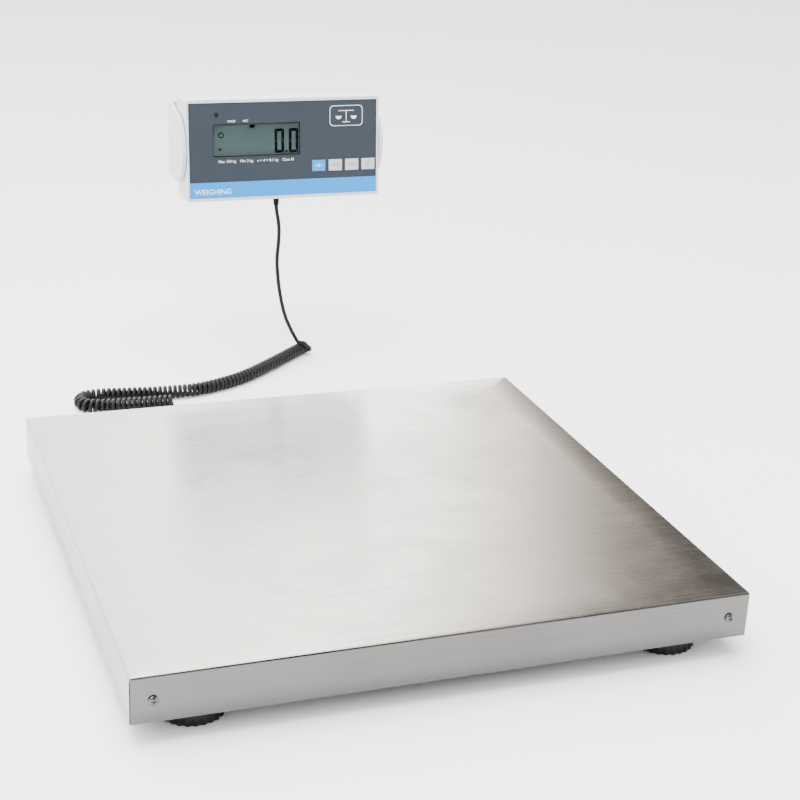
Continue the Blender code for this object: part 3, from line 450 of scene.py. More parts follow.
@dataclass(frozen=True)
class PrintedFilm:
    """The overlay: satin polyester, grey with a blue band along its foot."""

    name: str
    grey: tuple[float, float, float]
    blue: tuple[float, float, float]
    band_top: float
    middle: Vector
    tilt: float

    def build(self) -> bpy.types.Material:
        """Make the material, whose band is read in the tilted face's own height."""
        tree = Tree(self.name)
        tree.set(Specular_IOR_Level=0.2)
        turned_place = tree.mapped((1, 1, 1), (-self.tilt, 0, 0))
        level = (Matrix.Rotation(-self.tilt, 4, "X") @ self.middle).z
        height = tree.part(turned_place, "Z")
        edge = level + self.band_top
        above = tree.spread(height, 0.0, 1.0, edge - 5e-5, edge + 5e-5)
        cloud = tree.noise(tree.place, 30.0, 3.0)
        grey = tree.mix(tree.spread(cloud, 0.0, 1.0), tuple(0.96 * c for c in self.grey), self.grey)
        tree.colour(tree.mix(above, self.blue, grey))
        grain = tree.noise(tree.place, 3200.0, 2.0)
        tree.roughness(tree.spread(grain, 0.34, 0.44))
        tree.bump(grain, 2.0e-6)
        return tree.material


@dataclass(frozen=True)
class DisplayGlass:
    """The liquid crystal panel: grey-green, with a faint mottle."""

    name: str
    colour: tuple[float, float, float]

    def build(self) -> bpy.types.Material:
        """Make the material."""
        tree = Tree(self.name)
        tree.set(Specular_IOR_Level=0.15)
        mottle = tree.noise(tree.place, 60.0, 3.0)
        tree.colour(tree.mix(tree.spread(mottle, 0.0, 1.0), tuple(0.93 * c for c in self.colour),
                             tuple(1.05 * c for c in self.colour)))
        tree.roughness(tree.spread(tree.noise(tree.place, 900.0), 0.28, 0.36))
        return tree.material


@dataclass(frozen=True)
class ClearPane:
    """A clear moulded window."""

    name: str
    tint: tuple[float, float, float]
    index: float = 1.12

    def build(self) -> bpy.types.Material:
        """Make the material, with a polish that varies a little."""
        tree = Tree(self.name)
        tree.set(Transmission_Weight=1.0, IOR=self.index, Base_Color=(*self.tint, 1.0))
        tree.roughness(tree.spread(tree.noise(tree.place, 120.0), 0.01, 0.035))
        return tree.material


@dataclass(frozen=True)
class CircuitBoard:
    """Solder mask over tracks: straight lighter runs on a green base, with tinned dots."""

    name: str
    mask: tuple[float, float, float]
    track: tuple[float, float, float]

    def build(self) -> bpy.types.Material:
        """Make the material."""
        tree = Tree(self.name)
        cells = tree.nodes.new("ShaderNodeTexVoronoi")
        cells.distance = "CHEBYCHEV"
        cells.inputs["Scale"].default_value = 260.0
        tree.links.new(tree.place, cells.inputs["Vector"])
        runs = tree.spread(cells.outputs["Distance"], 0.0, 1.0, 0.40, 0.46)
        pads = tree.spread(cells.outputs["Distance"], 1.0, 0.0, 0.10, 0.14)
        green = tree.mix(runs, self.mask, self.track)
        tree.colour(tree.mix(pads, green, (0.62, 0.60, 0.50)))
        tree.roughness(tree.spread(tree.noise(tree.place, 300.0), 0.3, 0.45))
        tree.bump(runs, 2.0e-5)
        return tree.material


@dataclass(frozen=True)
class Ink:
    """Printed ink or a lit segment: one colour with a faint unevenness."""

    name: str
    colour: tuple[float, float, float]
    roughness: float = 0.5
    shine: float = 0.15

    def build(self) -> bpy.types.Material:
        """Make the material."""
        tree = Tree(self.name)
        tree.set(Specular_IOR_Level=self.shine)
        uneven = tree.noise(tree.place, 700.0, 2.0)
        tree.colour(tree.mix(tree.spread(uneven, 0.0, 1.0), tuple(0.95 * c for c in self.colour),
                             self.colour))
        tree.roughness(tree.spread(uneven, self.roughness - 0.04, self.roughness + 0.04))
        return tree.material


def dress(piece: bpy.types.Object, material: bpy.types.Material) -> None:
    """Give a piece one material."""
    piece.data.materials.clear()
    piece.data.materials.append(material)


def dress_node(node: str, material: bpy.types.Material) -> None:
    """Give a frame node a finished material in its own slots."""
    for slot in frame["nodes"][node].material_slots:
        slot.material = material


# Camera, light and floor -------------------------------------------------------------------

@dataclass
class Studio:
    """The camera, the lights and the pale floor."""

    camera_place: tuple[float, float, float] = (-0.4633, -1.48877, 0.70418)
    heading: float = math.radians(20.758)
    pitch: float = math.radians(-21.333)
    roll: float = math.radians(2.794)
    lens: float = 76.0
    floor_size: float = 30.0
    world_strength: float = 11.0
    room: tuple[float, float, float] = (0.17, 0.17, 0.17)
    room_right: tuple[float, float, float] = (0.018, 0.017, 0.019)
    room_far: tuple[float, float, float] = (0.24, 0.24, 0.24)
    dome: tuple[float, float, float] = (0.36, 0.36, 0.37)
    dome_right: tuple[float, float, float] = (0.06, 0.057, 0.055)
    backdrop: tuple[tuple[float, tuple[float, float, float]], ...] = (
        (0.00, (0.40, 0.40, 0.41)), (0.25, (0.60, 0.59, 0.58)), (0.40, (0.62, 0.60, 0.58)),
        (0.46, (0.86, 0.83, 0.79)), (0.51, (1.00, 0.96, 0.91)), (0.540, (0.31, 0.28, 0.245)),
        (0.562, (0.075, 0.064, 0.053)), (0.590, (0.018, 0.0155, 0.013)),
        (0.67, (0.018, 0.016, 0.014)), (0.78, (0.26, 0.26, 0.26)), (1.00, (0.34, 0.34, 0.34)),
    )

    def build(self) -> None:
        """Make the camera first, then the light and the floor."""
        self.make_camera()
        self.make_world()
        self.make_lights()
        self.make_floor()
        LOG.info("studio ready")

    def make_camera(self) -> None:
        """A long lens, looking down over the deck at the indicator."""
        data = bpy.data.cameras.new("camera")
        data.lens = self.lens
        data.sensor_width = 36.0
        data.clip_end = 100.0
        camera = bpy.data.objects.new("camera", data)
        bpy.context.scene.collection.objects.link(camera)
        turn = (Matrix.Rotation(-self.heading, 4, "Z")
                @ Matrix.Rotation(math.pi / 2 + self.pitch, 4, "X")
                @ Matrix.Rotation(self.roll, 4, "Z"))
        camera.matrix_world = Matrix.Translation(self.camera_place) @ turn
        bpy.context.scene.camera = camera

    def make_world(self) -> None:
        """A bright cyclorama behind, ending in a dark flag on the right, and a soft dome above."""
        world = bpy.data.worlds.new("studio")
        world.use_nodes = True
        bpy.context.scene.world = world
        nodes, links = world.node_tree.nodes, world.node_tree.links
        place = nodes.new("ShaderNodeTexCoord").outputs["Generated"]

        def reach(direction: tuple[float, float, float], low: float, high: float
                  ) -> bpy.types.NodeSocket:
            """How far a view turns to a direction, eased from low to high."""
            turn = nodes.new("ShaderNodeVectorMath")
            turn.operation = "DOT_PRODUCT"
            turn.inputs[1].default_value = direction
            ease = nodes.new("ShaderNodeMapRange")
            ease.interpolation_type = "LINEAR" if low == -high else "SMOOTHSTEP"
            ease.inputs["From Min"].default_value = low
            ease.inputs["From Max"].default_value = high
            links.new(place, turn.inputs[0])
            links.new(turn.outputs["Value"], ease.inputs["Value"])
            return ease.outputs["Result"]

        def mixed(factor: bpy.types.NodeSocket, first: bpy.types.NodeSocket | tuple,
                  second: bpy.types.NodeSocket | tuple) -> bpy.types.NodeSocket:
            """Mix two lights, each a colour or a socket."""
            node = nodes.new("ShaderNodeMix")
            node.data_type = "RGBA"
            links.new(factor, node.inputs[0])
            for socket, source in ((node.inputs[6], first), (node.inputs[7], second)):
                if isinstance(source, tuple):
                    socket.default_value = (*source, 1.0)
                else:
                    links.new(source, socket)
            return node.outputs[2]

        ramp = nodes.new("ShaderNodeValToRGB")
        ramp.color_ramp.interpolation = "EASE"
        elements = ramp.color_ramp.elements
        while len(elements) < len(self.backdrop):
            elements.new(0.5)
        for element, (position, colour) in zip(elements, self.backdrop):
            element.position = position
            element.color = (*colour, 1.0)
        right = (math.cos(self.heading), -math.sin(self.heading), 0.0)
        ahead = (math.sin(self.heading), math.cos(self.heading), 0.0)
        links.new(reach(right, -1.0, 1.0), ramp.inputs["Fac"])
        shaded = reach(right, -0.10, 0.12)
        room = mixed(reach(right, 0.72, 0.86), mixed(shaded, self.room, self.room_right),
                     self.room_far)
        walls = mixed(reach(ahead, 0.0, 0.4), room, ramp.outputs["Color"])
        dome = mixed(shaded, self.dome, self.dome_right)
        whole = mixed(reach((0.0, 0.0, 1.0), 0.74, 0.90), walls, dome)
        background = nodes["Background"]
        links.new(whole, background.inputs["Color"])
        background.inputs["Strength"].default_value = self.world_strength

    def make_lights(self) -> None:
        """A large overhead softbox, a key from the left and a weak fill from the front."""
        self.softbox("top_softbox", (-0.3, -0.2, 2.6), (0.0, 0.0, 0.1), 2.4, 170.0)
        self.softbox("left_softbox", (-2.4, -0.6, 1.7), (0.0, 0.0, 0.15), 1.6, 34.0)
        self.softbox("front_fill", (-1.2, -2.6, 2.2), (0.0, 0.3, 0.2), 1.6, 70.0)

    def softbox(self, name: str, place: Sequence[float], target: Sequence[float], size: float,
                power: float) -> None:
        """One square area light at a place, aimed at a target."""
        data = bpy.data.lights.new(name, "AREA")
        data.size = size
        data.energy = power
        light = bpy.data.objects.new(name, data)
        bpy.context.scene.collection.objects.link(light)
        aim = (Vector(target) - Vector(place)).to_track_quat("-Z", "Y")
        light.matrix_world = Matrix.Translation(place) @ aim.to_matrix().to_4x4()

    def make_floor(self) -> None:
        """A plain pale floor under the feet."""
        half = self.floor_size / 2
        corners = np.array([(-half, -half, 0), (half, -half, 0), (half, half, 0), (-half, half, 0)])
        floor = make_object("floor", corners - (0, 0, 1e-4), [(0, 1, 2, 3)])
        tree = Tree("floor_paper")
        tree.set(Roughness=0.9)
        tree.set(Specular_IOR_Level=0.1)
        cloud = tree.noise(tree.place, 2.0, 2.0)
        tree.colour(tree.mix(tree.spread(cloud, 0.0, 1.0), (0.94, 0.94, 0.94), (0.96, 0.96, 0.96)))
        floor.data.materials.append(tree.material)
        floor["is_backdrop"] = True


# Cord --------------------------------------------------------------------------------------

@dataclass
class CurlyCord:
    """The cord from the indicator's foot to the gland: a drop, the wound length and a lead."""

    radius: float = 0.0023
    winding: float = 0.0054
    pitch: float = 0.0057
    axis_height: float = 0.0079
    steps_a_turn: int = 16
    sides: int = 10
    cross_radius: float = 0.0104
    cross_start: float = 0.011
    start_gap: float = 0.0028
    route_step: float = 0.004
    axis_step: float = 0.002
    drop: tuple[tuple[float, float, float], ...] = (
        (0.0745, 0.3729, 0.1935), (0.0745, 0.3722, 0.1874), (0.0752, 0.3716, 0.1807),
        (0.0779, 0.3712, 0.1640), (0.0782, 0.3712, 0.1460), (0.0766, 0.3710, 0.1250),
        (0.0772, 0.3708, 0.1080),
        (0.0802, 0.3703, 0.0830), (0.0860, 0.3694, 0.0560), (0.0936, 0.3680, 0.0360),
    )
    coil: tuple[tuple[float, float], ...] = (
        (0.1110, 0.3720), (0.0830, 0.3470), (0.0567, 0.3236), (0.0119, 0.2880), (-0.0389, 0.2650),
        (-0.0837, 0.2615), (-0.1258, 0.2660), (-0.1560, 0.2695), (-0.1735, 0.2655),
        (-0.1795, 0.2530), (-0.1735, 0.2405), (-0.1540, 0.2355), (-0.1200, 0.2335),
        (-0.0810, 0.2320),
    )
    lead: tuple[tuple[float, float, float], ...] = (
        (-0.0765, 0.2245, 0.0024), (-0.0660, 0.2200, 0.0024), (-0.0520, 0.2140, 0.0024),
        (-0.0380, 0.2020, 0.0024), (-0.0250, 0.1860, 0.0026), (-0.0140, 0.1690, 0.0085),
        (-0.0060, 0.1530, 0.0210), (-0.0015, 0.1380, 0.0330), (0.0000, 0.1250, 0.0384),
        (0.0000, 0.1120, 0.0390), (0.0000, 0.0950, 0.0390), (0.0000, 0.0720, 0.0390),
    )

    def build(self, jacket: bpy.types.Material) -> None:
        path = self.route()
        cord = loft("curly_cord", tube_rings(path, self.radius, self.sides), smooth=60.0)
        dress(cord, jacket)
        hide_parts("cord_drop", "cord_coil", "cord_lead")
        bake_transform(cord)

    def route(self) -> np.ndarray:
        """The cord's centreline, from the indicator to the gland."""
        wound = self.wound()
        drop = smooth_route([*self.drop, wound[0], wound[1]], self.route_step)
        upto = int(np.argmin(np.linalg.norm(drop - wound[0], axis=1)))
        lead = smooth_route([wound[-2], wound[-1], *self.lead], self.route_step)
        after = int(np.argmin(np.linalg.norm(lead - wound[-1], axis=1))) + 1
        return np.vstack([drop[:upto], wound, lead[after:]])

    def wound(self) -> np.ndarray:
        """The wound length: a helix round the coil's level axis.

        At distance s along the axis, the wire is at the axis plus a radius times
        (cos t up + sin t sideways), with t growing by a full turn each pitch. It starts half
        a turn earlier, on a wider radius over the coil's first turns, runs out past their end
        and only then closes in to the helix below.
        """
        axis = smooth_route([(x, y, self.axis_height) for x, y in self.coil], self.axis_step)
        along = np.concatenate([[0], np.cumsum(np.linalg.norm(np.diff(axis, axis=0), axis=1))])
        turns = round((along[-1] - self.start_gap) / self.pitch)
        pitch = (along[-1] - self.start_gap) / (turns + 0.5)
        count = (turns + 2) * self.steps_a_turn
        angle = np.linspace(-3 * math.pi, (2 * turns + 1) * math.pi, count + 1)
        distance = self.start_gap + angle / (2 * math.pi) * pitch
        share = np.arange(self.steps_a_turn) / self.steps_a_turn
        out = self.eased(share / 0.75)
        close = self.eased((share - 0.45) / 0.35)
        cross_distance = self.cross_start + (distance[0] - self.cross_start) * out
        cross_radius = self.cross_radius + (self.winding - self.cross_radius) * close
        radius = np.concatenate([cross_radius, np.full(len(angle), self.winding)])
        angle = np.concatenate([math.pi * (share - 4), angle])
        distance = np.concatenate([cross_distance, distance])
        middle = self.read(axis, along, distance)
        ahead = self.read(axis, along, distance + 5e-4) - self.read(axis, along, distance - 5e-4)
        ahead /= np.linalg.norm(ahead, axis=1, keepdims=True)
        side = np.stack([-ahead[:, 1], ahead[:, 0], np.zeros(len(ahead))], -1)
        up = np.array([0.0, 0.0, 1.0])
        return middle + radius[:, None] * (np.cos(angle)[:, None] * up
                                           + np.sin(angle)[:, None] * side)

    @staticmethod
    def eased(share: np.ndarray) -> np.ndarray:
        """Ease shares from 0 to 1 with level ends."""
        held = np.clip(share, 0.0, 1.0)
        return held * held * (3 - 2 * held)

    @staticmethod
    def read(axis: np.ndarray, along: np.ndarray, distance: np.ndarray) -> np.ndarray:
        """Places on the axis at these distances, run on straight past both ends."""
        inside = np.clip(distance, 0.0, along[-1])
        places = np.stack([np.interp(inside, along, axis[:, k]) for k in range(3)], -1)
        first = (axis[1] - axis[0]) / np.linalg.norm(axis[1] - axis[0])
        last = (axis[-1] - axis[-2]) / np.linalg.norm(axis[-1] - axis[-2])
        places += np.minimum(distance, 0.0)[:, None] * first
        return places + np.maximum(distance - along[-1], 0.0)[:, None] * last


# Platform ----------------------------------------------------------------------------------

@dataclass
class Platform:
    """The cover, its screws, the frame, the load cells and the feet."""

    sheet: float = 0.0012
    fold: float = 0.0024
    corner: float = 0.0020
    seam_depth: float = 0.0014
    corner_steps: int = 12
    fold_steps: int = 7
    screw_hole: float = 0.0023
    gland_hole: float = 0.0063
    punch_length: float = 0.05
    screw_radius: float = 0.0040
    screw_shank: float = 0.0020
    screw_rise: float = 0.0024
    cross_half_width: float = 0.00045
    cross_reach: float = 0.0021
    cross_depth: float = 0.0011
    thread_pitch: float = 0.00125
    thread_depth: float = 0.00055
    stud_radius: float = 0.0040

    def build(self, finishes: dict[str, bpy.types.Material]) -> None:
        """Make the fine pieces and dress the frame's nodes."""
        self.make_cover(finishes["steel"])
        for corner in CORNERS:
            self.make_screw(corner, finishes["screw"])
            self.make_stud(corner, finishes["zinc"])
            self.make_foot(corner, finishes)
            dress_node(f"load_cell_{corner}", finishes["aluminium"])
            dress_node(f"load_cell_bolts_{corner}", finishes["zinc"])
            dress_node(f"foot_lock_nut_{corner}", finishes["zinc"])
            dress_node(f"load_cell_cable_{corner}", finishes["jacket"])
        for node in ("frame_rail_left", "frame_rail_right", "frame_channel_front",
                     "frame_channel_rear", "frame_rib"):
            dress_node(node, finishes["paint"])
        dress_node("junction_box", finishes["black"])
        dress_node("summing_board", finishes["board"])
        dress_node("gland_nut", finishes["black"])
        self.make_gland(finishes["black"])
        LOG.info("platform ready")

    def make_cover(self, steel: bpy.types.Material) -> None:
        """The folded cover.

        Its profile runs from the flat deck round the fold, down the skirt, under its edge and
        back up inside: inset R (1 - sin a) and drop R (1 - cos a) over the fold. Each ring is a
        rectangle with small round corners, whose middle points are drawn in below the fold to
        leave the open seam of a folded corner.
        """
        low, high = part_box("platform_cover")
        middle, size = (low + high) / 2, high - low
        bend = np.linspace(0, math.pi / 2, self.fold_steps)
        outer = [(self.fold * (1 - math.sin(a)), self.fold * (1 - math.cos(a)), 0.0) for a in bend]
        skirt = [(0.0, drop, 1.0) for drop in (self.fold + 0.0012, 0.012, 0.025, size.z - 0.0003)]
        lip = [(0.0003, size.z, 1.0), (self.sheet - 0.0003, size.z, 1.0),
               (self.sheet, size.z - 0.0003, 0.0)]
        inside = [(self.sheet, self.fold, 0.0), (self.fold, self.sheet, 0.0)]
        flat = [(self.fold + 0.0300, 0.0, 0.0)]
        under = [(self.fold + 0.0300, self.sheet, 0.0)]
        rings = []
        for inset, drop, seam in [*flat, *outer, *skirt, *lip, *inside, *under]:
            radius = max(self.corner - inset, 0.0006)
            width, depth = size.x - 2 * inset, size.y - 2 * inset
            ring = rounded_outline(width, depth, radius, self.corner_steps)
            if seam:
                ring = self.with_seams(ring)
            rings.append(np.column_stack([ring + (middle.x, middle.y),
                                          np.full(len(ring), high.z - drop)]))
        cover = loft("folded_cover", np.array(rings), smooth=50.0)
        self.punch(cover)
        self.lay_grain(cover)
        dress(cover, steel)
        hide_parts("platform_cover")
        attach(cover, PLATFORM)

    def with_seams(self, ring: np.ndarray) -> np.ndarray:
        """A ring whose corner points nearest each diagonal are drawn in by the seam's depth."""
        drawn = ring.copy()
        for quarter in range(4):
            index = quarter * (self.corner_steps + 1) + self.corner_steps // 2
            for near, share in ((-1, 0.5), (0, 1.0), (1, 0.5)):
                drawn[index + near] -= share * self.seam_depth * np.sign(ring[index]) / math.sqrt(2)
        return drawn

    def punch(self, cover: bpy.types.Object) -> None:
        """Cut the screw and gland holes through the skirt."""
        shape = bmesh.new()
        holes = {f"cover_screw_{corner}": self.screw_hole for corner in CORNERS}
        holes["cable_gland"] = self.gland_hole
        for node, grow in holes.items():
            low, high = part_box(node)
            x, z = (low.x + high.x) / 2, (low.z + high.z) / 2
            turn = Matrix.Translation((x, (low.y + high.y) / 2, z)) @ Matrix.Rotation(
                math.pi / 2, 4, "X")
            bmesh.ops.create_cone(shape, cap_ends=True, segments=20, radius1=grow, radius2=grow,
                                  depth=self.punch_length, matrix=turn)
        mesh = bpy.data.meshes.new("punch")
        shape.to_mesh(mesh)
        shape.free()
        cutter = bpy.data.objects.new("punch", mesh)
        bpy.context.scene.collection.objects.link(cutter)
        modifier = cover.modifiers.new("Holes", "BOOLEAN")
        modifier.operation = "DIFFERENCE"
        modifier.solver = "EXACT"
        modifier.object = cutter
        graph = bpy.context.evaluated_depsgraph_get()
        done = bpy.data.meshes.new_from_object(cover.evaluated_get(graph))
        cover.modifiers.clear()
        cover.data = done
        bpy.data.objects.remove(cutter)

    @staticmethod
    def lay_grain(cover: bpy.types.Object) -> None:
        """Give the cover a map whose U runs across the brushed grain on every face.

        The grain runs along X on the deck, the front and the rear, and along Y on both sides.
        The front and rear skirts also carry a mark that gives them a painted shade: their colour is
        darkened to stand in for the shade on them.
        """
        mesh = cover.data
        normals = np.array([face.normal[:] for face in mesh.polygons])
        counts = np.array([face.loop_total for face in mesh.polygons])
        facing = np.repeat(np.abs(normals).argmax(axis=1), counts)
        loops = np.empty(len(mesh.loops), int)
        mesh.loops.foreach_get("vertex_index", loops)
        places = np.empty(len(mesh.vertices) * 3)
        mesh.vertices.foreach_get("co", places)
        places = places.reshape(-1, 3)[loops]
        across = np.where(facing == 2, places[:, 1], places[:, 2])
        along = np.where(facing == 0, places[:, 1], places[:, 0])
        layer = mesh.uv_layers.new(name="grain")
        layer.data.foreach_set("uv", np.stack([across, along], -1).ravel())
        # Painted shade: this mark darkens the front and rear skirts in the steel's colour.
        painted_skirt_shade = mesh.attributes.new("painted_skirt_shade", "FLOAT", "CORNER")
        painted_skirt_shade.data.foreach_set("value", (facing == 1).astype(float))

    def make_screw(self, corner: str, zinc: bpy.types.Material) -> None:
        """A pan head with a cross recess, on its shank.

        Over the head, the height at radius r is rise sqrt(1 - 0.85 (r / R)^2), less the recess
        depth where the point lies in either arm of the cross.
        """
        node = f"cover_screw_{corner}"
        low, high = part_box(node)
        outward = -1.0 if corner.startswith("front") else 1.0
        seat = (high.y - self.screw_rise) if outward > 0 else (low.y + self.screw_rise)
        sides = 48
        share = np.linspace(1.0, 0.02, 22)
        angle = np.arange(sides) * 2 * math.pi / sides
        x = self.screw_radius * share[:, None] * np.cos(angle)
        z = self.screw_radius * share[:, None] * np.sin(angle)
        dome = self.screw_rise * np.sqrt(1 - 0.85 * share ** 2)[:, None] * np.ones(sides)
        ax, az = np.abs(x), np.abs(z)
        arm = ((ax < self.cross_half_width) & (az < self.cross_reach)) | (
            (az < self.cross_half_width) & (ax < self.cross_reach))
        dome = dome - self.cross_depth * arm
        top = np.stack([x, dome, z], -1)
        rim = np.stack([x[0], np.zeros(sides), z[0]], -1)[None]
        shank_length = (high.y - low.y) - self.screw_rise
        round_shank = self.screw_shank * np.array([np.cos(angle), np.sin(angle)])
        shank = [np.stack([round_shank[0], np.full(sides, y), round_shank[1]], -1)
                 for y in (-0.0001, -shank_length)]
        rings = np.concatenate([np.array(shank)[::-1], rim, top])
        rings[..., 1] = seat + outward * rings[..., 1]
        rings[..., 0] += (low.x + high.x) / 2
        rings[..., 2] += (low.z + high.z) / 2
        screw = loft(f"pan_screw_{corner}", rings, smooth=35.0)
        dress(screw, zinc)
        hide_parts(node)
        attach(screw, PLATFORM)

    def make_stud(self, corner: str, zinc: bpy.types.Material) -> None:
        """The foot's threaded stud.

        At height z and angle a, the radius is the stud's less the thread's depth times a
        triangle wave of z / pitch - a / (2 pi), faded out over both plain ends.
        """
        node = f"foot_stud_{corner}"
        low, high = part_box(node)
        length = high.z - low.z
        sides, per_turn = 20, 8
        rows = int(length / self.thread_pitch * per_turn)
        z = np.linspace(0, length, rows)
        angle = np.arange(sides) * 2 * math.pi / sides
        phase = z[:, None] / self.thread_pitch - angle[None] / (2 * math.pi)
        wave = 2 * np.abs(phase - np.floor(phase) - 0.5)
        fade = np.clip(np.minimum(z - 0.006, length - z - 0.0006) / 0.001, 0, 1)[:, None]
        radius = self.stud_radius - self.thread_depth * wave * fade
        radius = radius - 0.0008 * np.clip((z - (length - 0.001)) / 0.001, 0, 1)[:, None]
        rings = np.stack([radius * np.cos(angle), radius * np.sin(angle),
                          np.broadcast_to(z[:, None], radius.shape)], -1)
        rings += np.array([(low.x + high.x) / 2, (low.y + high.y) / 2, low.z])
        stud = loft(f"threaded_stud_{corner}", rings, smooth=30.0)
        dress(stud, zinc)
        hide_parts(node)
        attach(stud, f"foot_screw_{corner}")

    def make_foot(self, corner: str, finishes: dict[str, bpy.types.Material]) -> None:
        """Round off the gripped disc, and dress the sole under it."""
        disc = eased_copy(f"foot_disc_{corner}", 0.0003, f"foot_screw_{corner}", 1, 50.0)
        dress(disc, finishes["black"])
        dress_node(f"foot_sole_{corner}", finishes["rubber"])

    def make_gland(self, black: bpy.types.Material) -> None:
        """The gland: a hexagon body, and a dome nut with grip ribs.

        The radius at angle a is the profile's, times 1 / cos of the angle from the nearest flat
        on the hexagon, and less a shallow rib wave on the dome nut.
        """
        low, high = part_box("cable_gland")
        sides = 72
        angle = np.arange(sides) * 2 * math.pi / sides
        sixth = math.pi / 3
        hexagon = math.cos(sixth / 2) / np.cos((angle + sixth / 2) % sixth - sixth / 2)
        ribs = 1 - 0.045 * (np.sin(angle * 18) > 0.2)
        plain = np.ones(sides)
        bore, reach = 0.0026, high.y - low.y
        flange = reach - 0.0160
        profile = (
            (bore, 0.0, plain), (0.0060, 0.0, plain), (0.0060, flange, plain),
            (0.0092, flange, plain), (0.0095, flange + 0.0004, hexagon),
            (0.0095, flange + 0.0056, hexagon), (0.0090, flange + 0.0060, plain),
            (0.0079, flange + 0.0063, ribs), (0.0080, flange + 0.0120, ribs),
            (0.0070, flange + 0.0138, plain), (0.0055, reach - 0.0006, plain),
            (0.0046, reach, plain), (bore, reach, plain),
        )
        rings = np.array([np.stack([radius * wave * np.cos(angle), np.full(sides, low.y + along),
                                    radius * wave * np.sin(angle)], -1)
                          for radius, along, wave in profile])
        rings += np.array([(low.x + high.x) / 2, 0.0, (low.z + high.z) / 2])
        gland = loft("ribbed_gland", rings, closed=True, smooth=30.0)
        dress(gland, black)
        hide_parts("cable_gland")
        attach(gland, PLATFORM)


# Indicator ---------------------------------------------------------------------------------

